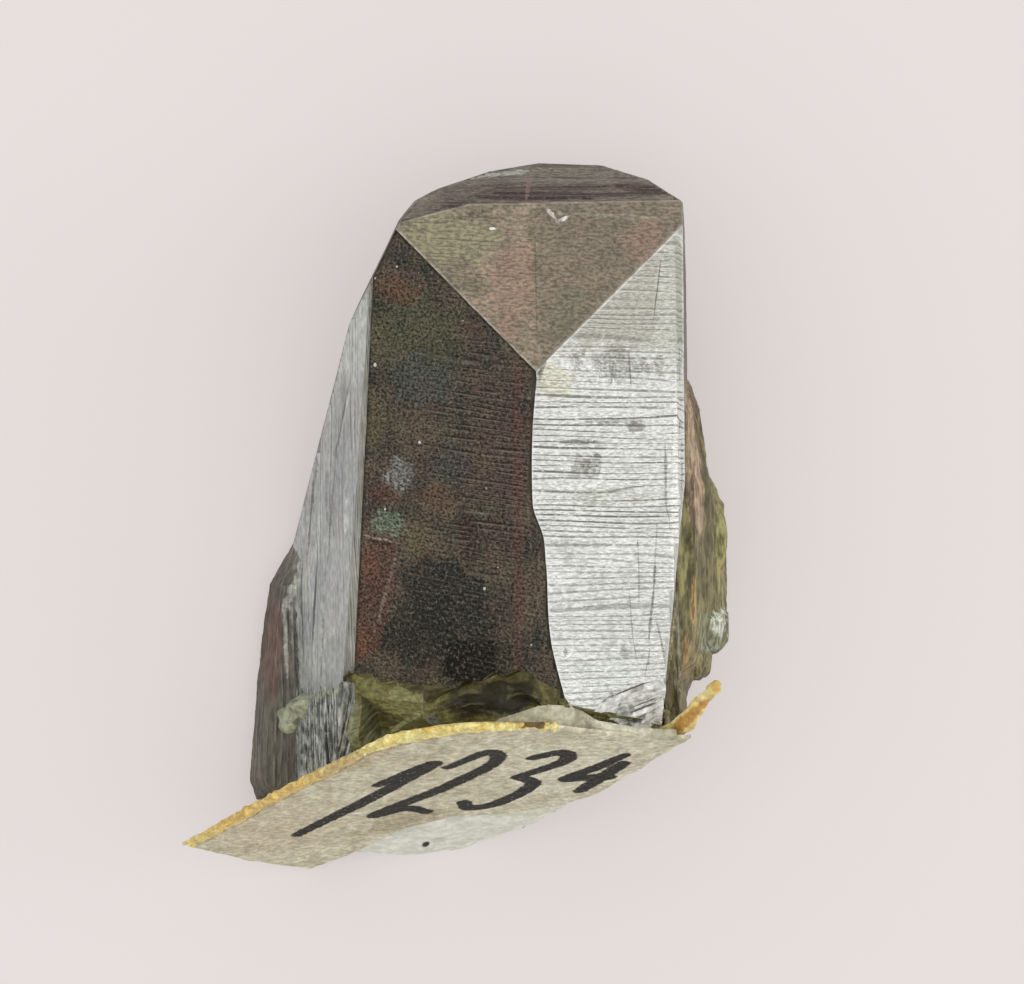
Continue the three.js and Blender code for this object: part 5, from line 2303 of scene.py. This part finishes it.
FRACTURE_FINISH = CrystalFinish(
    "olive_fracture",
    deep=(0.11, 0.105, 0.034), body=(0.28, 0.265, 0.095), tint=(0.17, 0.13, 0.045),
    line=(0.04, 0.035, 0.012), line_strength=0.3, light=(0.4, 0.37, 0.18), light_strength=0.4, lines=3.0,
    length=0.5, cloud=0.5, weave=(9.0, 14.0), contrast=0.35, roughness=0.36, gloss=0.35, bump=0.02,
    fleck=(0.6, 0.56, 0.3), flecks=0.05,
    patches=(
        Patch((-2.3, -2.75), (0.7, 1.2), (0.34, 0.36, 0.24), 0.8, 1.0, -14.0, 0.7, 0.2),
        Patch((-0.75, -2.25), (0.75, 0.4), (0.36, 0.35, 0.16), 0.8, 1.0, 20.0),
        Patch((-0.9, -2.62), (0.95, 0.06), (0.5, 0.48, 0.26), 0.8, 0.5, 26.0),
        Patch((-0.1, -2.5), (0.22, 0.3), (0.3, 0.33, 0.32), 0.8, 1.0, speck=0.3),
        # Painted shade: the near-black band at the crystal's foot, above the label.
        Patch((1.4, -2.2), (1.5, 0.36), (0.018, 0.014, 0.008), 0.92, 0.7, 6.0),
        Patch((2.0, -1.72), (0.9, 0.16), (0.16, 0.14, 0.06), 0.8, 1.0, speck=0.3),
        Patch((1.25, -1.8), (0.5, 0.08), (0.5, 0.5, 0.4), 0.7, 1.6, 8.0, speck=0.7),
        Patch((0.1, -1.85), (0.8, 0.25), (0.05, 0.045, 0.02), 0.75, 1.2),
    ),
)
FLANK_FINISH = CrystalFinish(
    "flank_face",
    deep=(0.09, 0.075, 0.055), body=(0.19, 0.15, 0.11), tint=(0.13, 0.12, 0.07), line=(0.05, 0.04, 0.03),
    line_strength=0.55, light=(0.3, 0.27, 0.2), light_strength=0.35, lines=8.0, length=1.5, cover=-0.03,
    roughness=0.45,
)
SHOULDER_FINISH = CrystalFinish(
    "shoulder_crystal_skin",
    deep=(0.09, 0.085, 0.068), body=(0.19, 0.17, 0.14), tint=(0.14, 0.13, 0.11), line=(0.04, 0.035, 0.028),
    line_strength=0.55, light=(0.34, 0.34, 0.31), light_strength=0.45, lines=7.0, length=0.9, upright=True,
    weave=(16.0, 3.0), contrast=0.3, roughness=0.5,
    patches=(
        Patch((-2.75, -2.3), (0.34, 2.2), (0.36, 0.37, 0.34), 0.9, 0.9, 3.0, 0.5, 0.2),
        Patch((-3.4, -2.5), (0.26, 1.4), (0.17, 0.095, 0.075), 0.75, 0.9, -4.0, 0.6, 0.2),
        Patch((-2.95, -1.2), (0.1, 0.7), (0.6, 0.6, 0.55), 0.7, 1.4, -20.0, speck=0.5),
        Patch((-2.95, -2.6), (0.05, 1.0), (0.04, 0.04, 0.03), 0.85, 1.4, 2.0, speck=0.3),
        Patch((-3.15, -2.2), (0.05, 0.9), (0.5, 0.5, 0.45), 0.7, 1.4, 2.0, speck=0.4),
        Patch((-2.8, -2.2), (0.06, 0.8), (0.04, 0.04, 0.034), 0.8, 1.2, 4.0, speck=0.5),
        Patch((-3.1, -4.2), (0.8, 1.0), (0.12, 0.115, 0.09), 0.6, 0.8),
    ),
)
SIDE_FINISH = CrystalFinish(
    "side_crystal_skin",
    deep=(0.08, 0.068, 0.03), body=(0.27, 0.225, 0.11), tint=(0.2, 0.185, 0.07), line=(0.04, 0.032, 0.016),
    line_strength=0.5, light=(0.45, 0.4, 0.26), light_strength=0.5, lines=5.0, length=1.0, cover=-0.02,
    upright=True, cloud=0.7, weave=(14.0, 3.0), contrast=0.5, roughness=0.45, gloss=0.35, bump=0.02,
    patches=(
        Patch((4.28, 1.1), (0.24, 1.9), (0.47, 0.33, 0.225), 0.85, 0.6, 6.0, speck=0.2),
        Patch((4.4, 1.7), (0.05, 0.8), (0.12, 0.08, 0.055), 0.7, 1.0, 6.0),
        Patch((4.6, 0.5), (0.07, 0.9), (0.09, 0.075, 0.03), 0.75, 1.0, 8.0),
        Patch((4.85, -0.6), (0.12, 1.2), (0.3, 0.28, 0.1), 0.7, 0.8, 2.0),
        Patch((4.35, -1.6), (0.07, 0.8), (0.42, 0.28, 0.12), 0.75, 1.0, 2.0),
        Patch((4.15, -1.0), (0.1, 1.6), (0.28, 0.27, 0.11), 0.7, 0.8),
        Patch((3.9, -2.2), (0.1, 1.0), (0.48, 0.45, 0.24), 0.75, 1.2, -6.0, speck=0.6),
        Patch((4.22, -2.5), (0.07, 0.5), (0.45, 0.24, 0.1), 0.75, 1.0, speck=0.3),
        Patch((4.1, -3.3), (0.5, 0.6), (0.17, 0.14, 0.085), 0.75, 1.0, speck=0.5),
        Patch((4.68, -2.15), (0.36, 0.5), (0.24, 0.26, 0.17), 0.85, 1.0, speck=0.4),
        Patch((4.82, -1.95), (0.2, 0.3), (0.62, 0.66, 0.55), 0.85, 1.2, speck=0.3),
        Patch((4.6, -2.4), (0.26, 0.12), (0.33, 0.36, 0.28), 0.8, 1.4, speck=0.6),
        Patch((3.95, -0.2), (0.06, 3.2), (0.4, 0.36, 0.3), 0.5, 0.9, 3.0),
    ),
)
FIBRE_FINISH = CrystalFinish(
    "fibrous_break_skin",
    deep=(0.07, 0.075, 0.06), body=(0.5, 0.52, 0.5), tint=(0.24, 0.255, 0.24), line=(0.025, 0.025, 0.02),
    line_strength=0.85, light=(0.72, 0.74, 0.72), light_strength=0.8, lines=7.0, length=0.5, cover=0.08,
    upright=True, cloud=0.22, weave=(16.0, 3.5), contrast=0.5, roughness=0.5, bump=0.02, flecks=0.0,
)
PALE_FINISH = CrystalFinish(
    "pale_growth_skin",
    deep=(0.26, 0.28, 0.19), body=(0.5, 0.52, 0.38), tint=(0.36, 0.38, 0.27), line=(0.12, 0.12, 0.08),
    line_strength=0.3, light=(0.6, 0.62, 0.52), light_strength=0.3, lines=3.0, length=0.4, cloud=0.45,
    weave=(8.0, 8.0), contrast=0.25, roughness=0.55, bump=0.02, flecks=0.04,
)
PLASTER_FINISH = SoftFinish(
    "white_filler",
    deep=(0.66, 0.66, 0.56), body=(0.84, 0.84, 0.74), tint=(0.68, 0.69, 0.58), soft=0.15, bump=0.012,
    patches=(
        # Painted shade: darker greenish grey where the filler tucks under the label's edge.
        Patch((-1.5, -3.7), (1.0, 0.9), (0.42, 0.42, 0.3), 0.75, 1.0, -50.0, 0.9),
        Patch((0.9, -3.1), (1.6, 0.25), (0.6, 0.62, 0.4), 0.5, 1.2, soft=0.8),
        Patch((-0.5, -4.85), (0.09, 0.16), (0.02, 0.02, 0.012), 0.97, 0.5),
        Patch((-0.3, -4.6), (0.16, 0.3), (0.5, 0.5, 0.42), 0.6, 1.0),
    ),
)
FILLET_FINISH = SoftFinish(
    "beige_filler",
    deep=(0.33, 0.31, 0.21), body=(0.5, 0.475, 0.34), tint=(0.4, 0.38, 0.26), cloud=0.4, bump=0.012,
    contrast=0.2,
    patches=(
        Patch((0.5, 1.75), (0.3, 0.3), (0.62, 0.6, 0.45), 0.7, 1.0, -20.0),
        Patch((1.6, 1.35), (0.8, 0.25), (0.66, 0.64, 0.49), 0.8, 1.0, -20.0),
        Patch((0.8, 2.0), (0.5, 0.1), (0.3, 0.29, 0.2), 0.6, 1.2, -30.0),
    ),
)
GLUE_FINISH = SoftFinish(
    "yellowed_glue",
    deep=(0.68, 0.48, 0.1), body=(0.86, 0.74, 0.26), tint=(0.88, 0.83, 0.46), tint_strength=0.7, cloud=0.22,
    roughness=0.5, soft=0.15, weave=(10.0, 10.0), contrast=0.22,
    patches=(
        Patch((-4.2, -2.0), (0.6, 2.9), (0.66, 0.42, 0.12), 0.85, 1.0, -26.0, 0.5, 0.3),
        Patch((-3.2, 0.0), (0.35, 0.8), (0.5, 0.36, 0.17), 0.8, 1.2, -28.0, speck=0.3),
        Patch((-2.1, 1.75), (0.9, 0.1), (0.7, 0.42, 0.06), 0.8, 1.4, 22.0, speck=0.3),
        Patch((-0.5, 2.0), (0.9, 0.07), (0.66, 0.4, 0.07), 0.8, 1.4, speck=0.3),
        Patch((-0.15, 1.93), (0.3, 0.07), (0.08, 0.035, 0.01), 0.9, 0.8),
    ),
)
AMBER_FINISH = SoftFinish(
    "amber_glue",
    deep=(0.7, 0.5, 0.15), body=(0.87, 0.72, 0.28), tint=(0.88, 0.82, 0.5), tint_strength=0.5, cloud=0.3,
    roughness=0.35, soft=0.35, contrast=0.18,
    patches=(
        Patch((4.2, -3.6), (0.13, 0.62), (0.5, 0.25, 0.05), 0.9, 0.9, -44.0, 0.5),
        Patch((3.85, -3.88), (0.2, 0.08), (0.4, 0.2, 0.04), 0.8, 1.0, speck=0.3),
        Patch((4.68, -3.0), (0.1, 0.14), (0.6, 0.36, 0.08), 0.7, 1.0),
    ),
)
PAPER_FINISH = SoftFinish(
    "beige_paper",
    deep=(0.5, 0.45, 0.31), body=(0.78, 0.74, 0.56), tint=(0.6, 0.52, 0.36), cloud=0.4, roughness=0.9,
    bump=0.02, weave=(7.0, 9.0), contrast=0.2, fibre=(0.88, 0.86, 0.7), fibres=0.7,
    ink=(0.014, 0.012, 0.008),
    patches=(
        Patch((-3.6, -3.6), (1.6, 2.4), (0.6, 0.48, 0.33), 0.5, 1.2, -20.0, 0.8, 0.3),
        Patch((1.2, -0.4), (1.8, 2.2), (0.82, 0.79, 0.62), 0.6, 1.2, soft=0.8, speck=0.3),
        Patch((0.6, 1.4), (0.6, 0.25), (0.5, 0.48, 0.34), 0.7, 1.0, -22.0, 0.9),
        # Painted shade: the brown band along the label's edge where it lies over the filler.
        Patch((-1.35, -3.3), (0.6, 1.1), (0.34, 0.26, 0.15), 0.7, 1.2, -40.0, 0.7, 0.3),
        Patch((-2.9, 0.0), (0.4, 0.9), (0.5, 0.38, 0.22), 0.7, 1.2, -28.0, 0.7, 0.3),
    ),
)
FLOOR_FINISH = SoftFinish(
    "pale_floor",
    deep=(0.41, 0.382, 0.374), body=(0.41, 0.382, 0.374), tint=(0.41, 0.382, 0.374), tint_strength=0.0,
    roughness=0.9, bump=0.0, contrast=0.0, glow=(0.386, 0.36, 0.353),
)


@dataclass
class Studio:
    """The pale floor, the soft lights and the camera that looks down on the specimen.

    Attributes:
        eye: the camera's place above the floor, in the maker's frame, in millimetres.
        lens: its focal length on a 36 mm sensor.
        horizon: brightness of the dome at the horizon.
        zenith: how much brighter it is overhead.
    """

    eye: tuple[float, float, float] = (1.0545, 0.418, 110.0)
    lens: float = 206.5
    horizon: float = 0.32
    zenith: float = 0.95

    def floor(self, effects: Effects) -> bpy.types.Object:
        """A wide flat pale floor.

        Args:
            effects: the shared groups.

        Returns:
            The floor.
        """
        bm = bmesh.new()
        bmesh.ops.create_grid(bm, x_segments=4, y_segments=4, size=1.5)
        made = Maker.shape("floor", bm)
        made.data.materials.append(FLOOR_FINISH.build(effects))
        made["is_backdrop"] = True
        return made

    def dome(self) -> None:
        """A soft white dome, brightest overhead."""
        world = bpy.data.worlds.new("dome")
        world.use_nodes = True
        world.node_tree.nodes.clear()
        bench = Bench(world.node_tree)
        way = bench.add("ShaderNodeTexCoord").outputs["Generated"]
        rise = bench.add("ShaderNodeSeparateXYZ", {0: way}).outputs[2]
        lifted = bench.math("MULTIPLY", bench.add("ShaderNodeClamp", {0: rise}).outputs[0], self.zenith)
        strength = bench.math("ADD", lifted, self.horizon)
        light = bench.add("ShaderNodeBackground", {0: (1.0, 1.0, 1.0, 1.0), 1: strength})
        bench.add("ShaderNodeOutputWorld", {0: light.outputs[0]})
        bpy.context.scene.world = world

    def softbox(
        self, name: str, way: Sequence[float], distance: float, size: tuple[float, float], power: float
    ) -> None:
        """A softbox that looks at the specimen.

        Args:
            name: its name.
            way: the direction from the specimen to it.
            distance: how far off it is, in metres.
            size: its width and height, in metres.
            power: in watts.
        """
        lamp = bpy.data.lights.new(name, "AREA")
        lamp.shape, lamp.size, lamp.size_y = "RECTANGLE", *size
        lamp.energy = power
        made = bpy.data.objects.new(name, lamp)
        direction = Vector(way).normalized()
        made.location = direction * distance + Vector((0, 0, 0.004))
        made.rotation_mode = "QUATERNION"
        made.rotation_quaternion = direction.to_track_quat("Z", "Y")
        bpy.context.scene.collection.objects.link(made)

    def camera(self, shift: Vector) -> None:
        """The camera, straight above.

        Args:
            shift: from the maker's frame to the row's, in millimetres.
        """
        lens = bpy.data.cameras.new("photo_camera")
        lens.sensor_width, lens.lens = 36.0, self.lens
        lens.clip_start, lens.clip_end = 0.01, 10.0
        made = bpy.data.objects.new("photo_camera", lens)
        made.location = (Vector(self.eye) + shift) * MM
        bpy.context.scene.collection.objects.link(made)
        bpy.context.scene.camera = made

    def build(self, shift: Vector, effects: Effects) -> None:
        """Sets the studio up.

        Args:
            shift: from the maker's frame to the row's, in millimetres.
            effects: the shared groups.
        """
        self.floor(effects)
        self.dome()
        self.softbox("sheen_box", (0.95, 0.1, 0.31), 0.3, (0.16, 0.2), 0.14)
        self.camera(shift)
        view = bpy.context.scene.view_settings
        view.view_transform, view.look = "Standard", "None"


def settle(made: bpy.types.Object, box: tuple[Vector, Vector], slot: Slot, *nodes: str) -> None:
    """Keeps a finished piece inside the CAD box, ties it to the frame and reports it.

    Args:
        made: the piece.
        box: the CAD box's corners, in metres.
        slot: the record's material slot; not used.
        nodes: the CAD nodes that it stands for.
    """
    Maker.push(made.data, np.clip(Maker.points(made.data), np.array(box[0]), np.array(box[1])))
    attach(made, "root")
    if nodes:
        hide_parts(*nodes)
    faces = sum(len(p.vertices) - 2 for p in made.data.polygons)
    LOG.info("%s: %d triangles", made.name, faces)


def main() -> None:
    """Builds the specimen around its frame."""
    logging.basicConfig(level=logging.INFO, format="%(name)s %(message)s")
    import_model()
    cad_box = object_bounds()
    effects = Effects()
    crystal = MainCrystal()
    block = crystal.block()
    tip = max(v.co.y for v in block.verts)
    block.free()
    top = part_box("crystal")[1]
    shift = Vector((top.x / MM - SIDE_REACH, top.y / MM - tip, 0))
    LOG.info("shift %s", tuple(round(x, 4) for x in shift))
    skins = {
        Skin.DARK: DARK_FINISH,
        Skin.SILVER: SILVER_FINISH,
        Skin.ROOF: ROOF_FINISH,
        Skin.CROWN: CROWN_FINISH,
        Skin.GREY: GREY_FINISH,
        Skin.STRIP: STRIP_FINISH,
        Skin.REAR: REAR_FINISH,
        Skin.FRACTURE: FRACTURE_FINISH,
        Skin.FLANK: FLANK_FINISH,
        Skin.BROKEN: BROKEN_FINISH,
    }
    finishes = [skins[skin].build(effects) for skin in Skin]
    prism = crystal.build()
    numbers = [face.skin.value for face in [*crystal.faces, CUT_FACE, CHIP_FACE]]
    prism.data.polygons.foreach_set(
        "material_index", [numbers[p.material_index] for p in prism.data.polygons]
    )
    settle(Maker.finish(prism, shift, finishes), cad_box, Slot.CRYSTAL, "crystal")
    grown = GrownPieces()
    fibre = FIBRE_FINISH.build(effects)
    for piece, finish, sharp in (
        (grown.shoulder(), SHOULDER_FINISH.build(effects), 40.0),
        (grown.side_crystals(), SIDE_FINISH.build(effects), 40.0),
        (grown.pale_growths(), PALE_FINISH.build(effects), 180.0),
        (grown.fibrous_break(), fibre, 50.0),
        (grown.splinters(fibre), fibre, 60.0),
        (grown.broken_foot(), finishes[Skin.BROKEN.value], 30.0),
        (grown.crumbs(finishes[Skin.FRACTURE.value]), finishes[Skin.FRACTURE.value], 40.0),
    ):
        settle(Maker.finish(piece, shift, [finish], sharp), cad_box, Slot.CRYSTAL)
    base = LabelledBase()
    glue = GLUE_FINISH.build(effects)
    for piece, finish, slot, nodes in (
        (base.filler(), PLASTER_FINISH.build(effects), Slot.PLASTER, ["base_filler"]),
        (base.fillet(), FILLET_FINISH.build(effects), Slot.PLASTER, []),
        (base.glue_sheet(), glue, Slot.GLUE, ["glue_layer"]),
        (base.glue_strip(), glue, Slot.GLUE, []),
        (base.glue_rim(glue), glue, Slot.GLUE, []),
        (base.tongue(), AMBER_FINISH.build(effects), Slot.GLUE, []),
        (base.paper(), PAPER_FINISH.build(effects), Slot.PAPER, ["paper_label"]),
    ):
        settle(Maker.finish(piece, shift, [finish], 60.0), cad_box, slot, *nodes)
    Studio().build(shift, effects)
    for leftover in [m for m in bpy.data.materials if m.name.startswith(UNDRESSED)]:
        bpy.data.materials.remove(leftover)


if __name__ == "__main__":
    main()
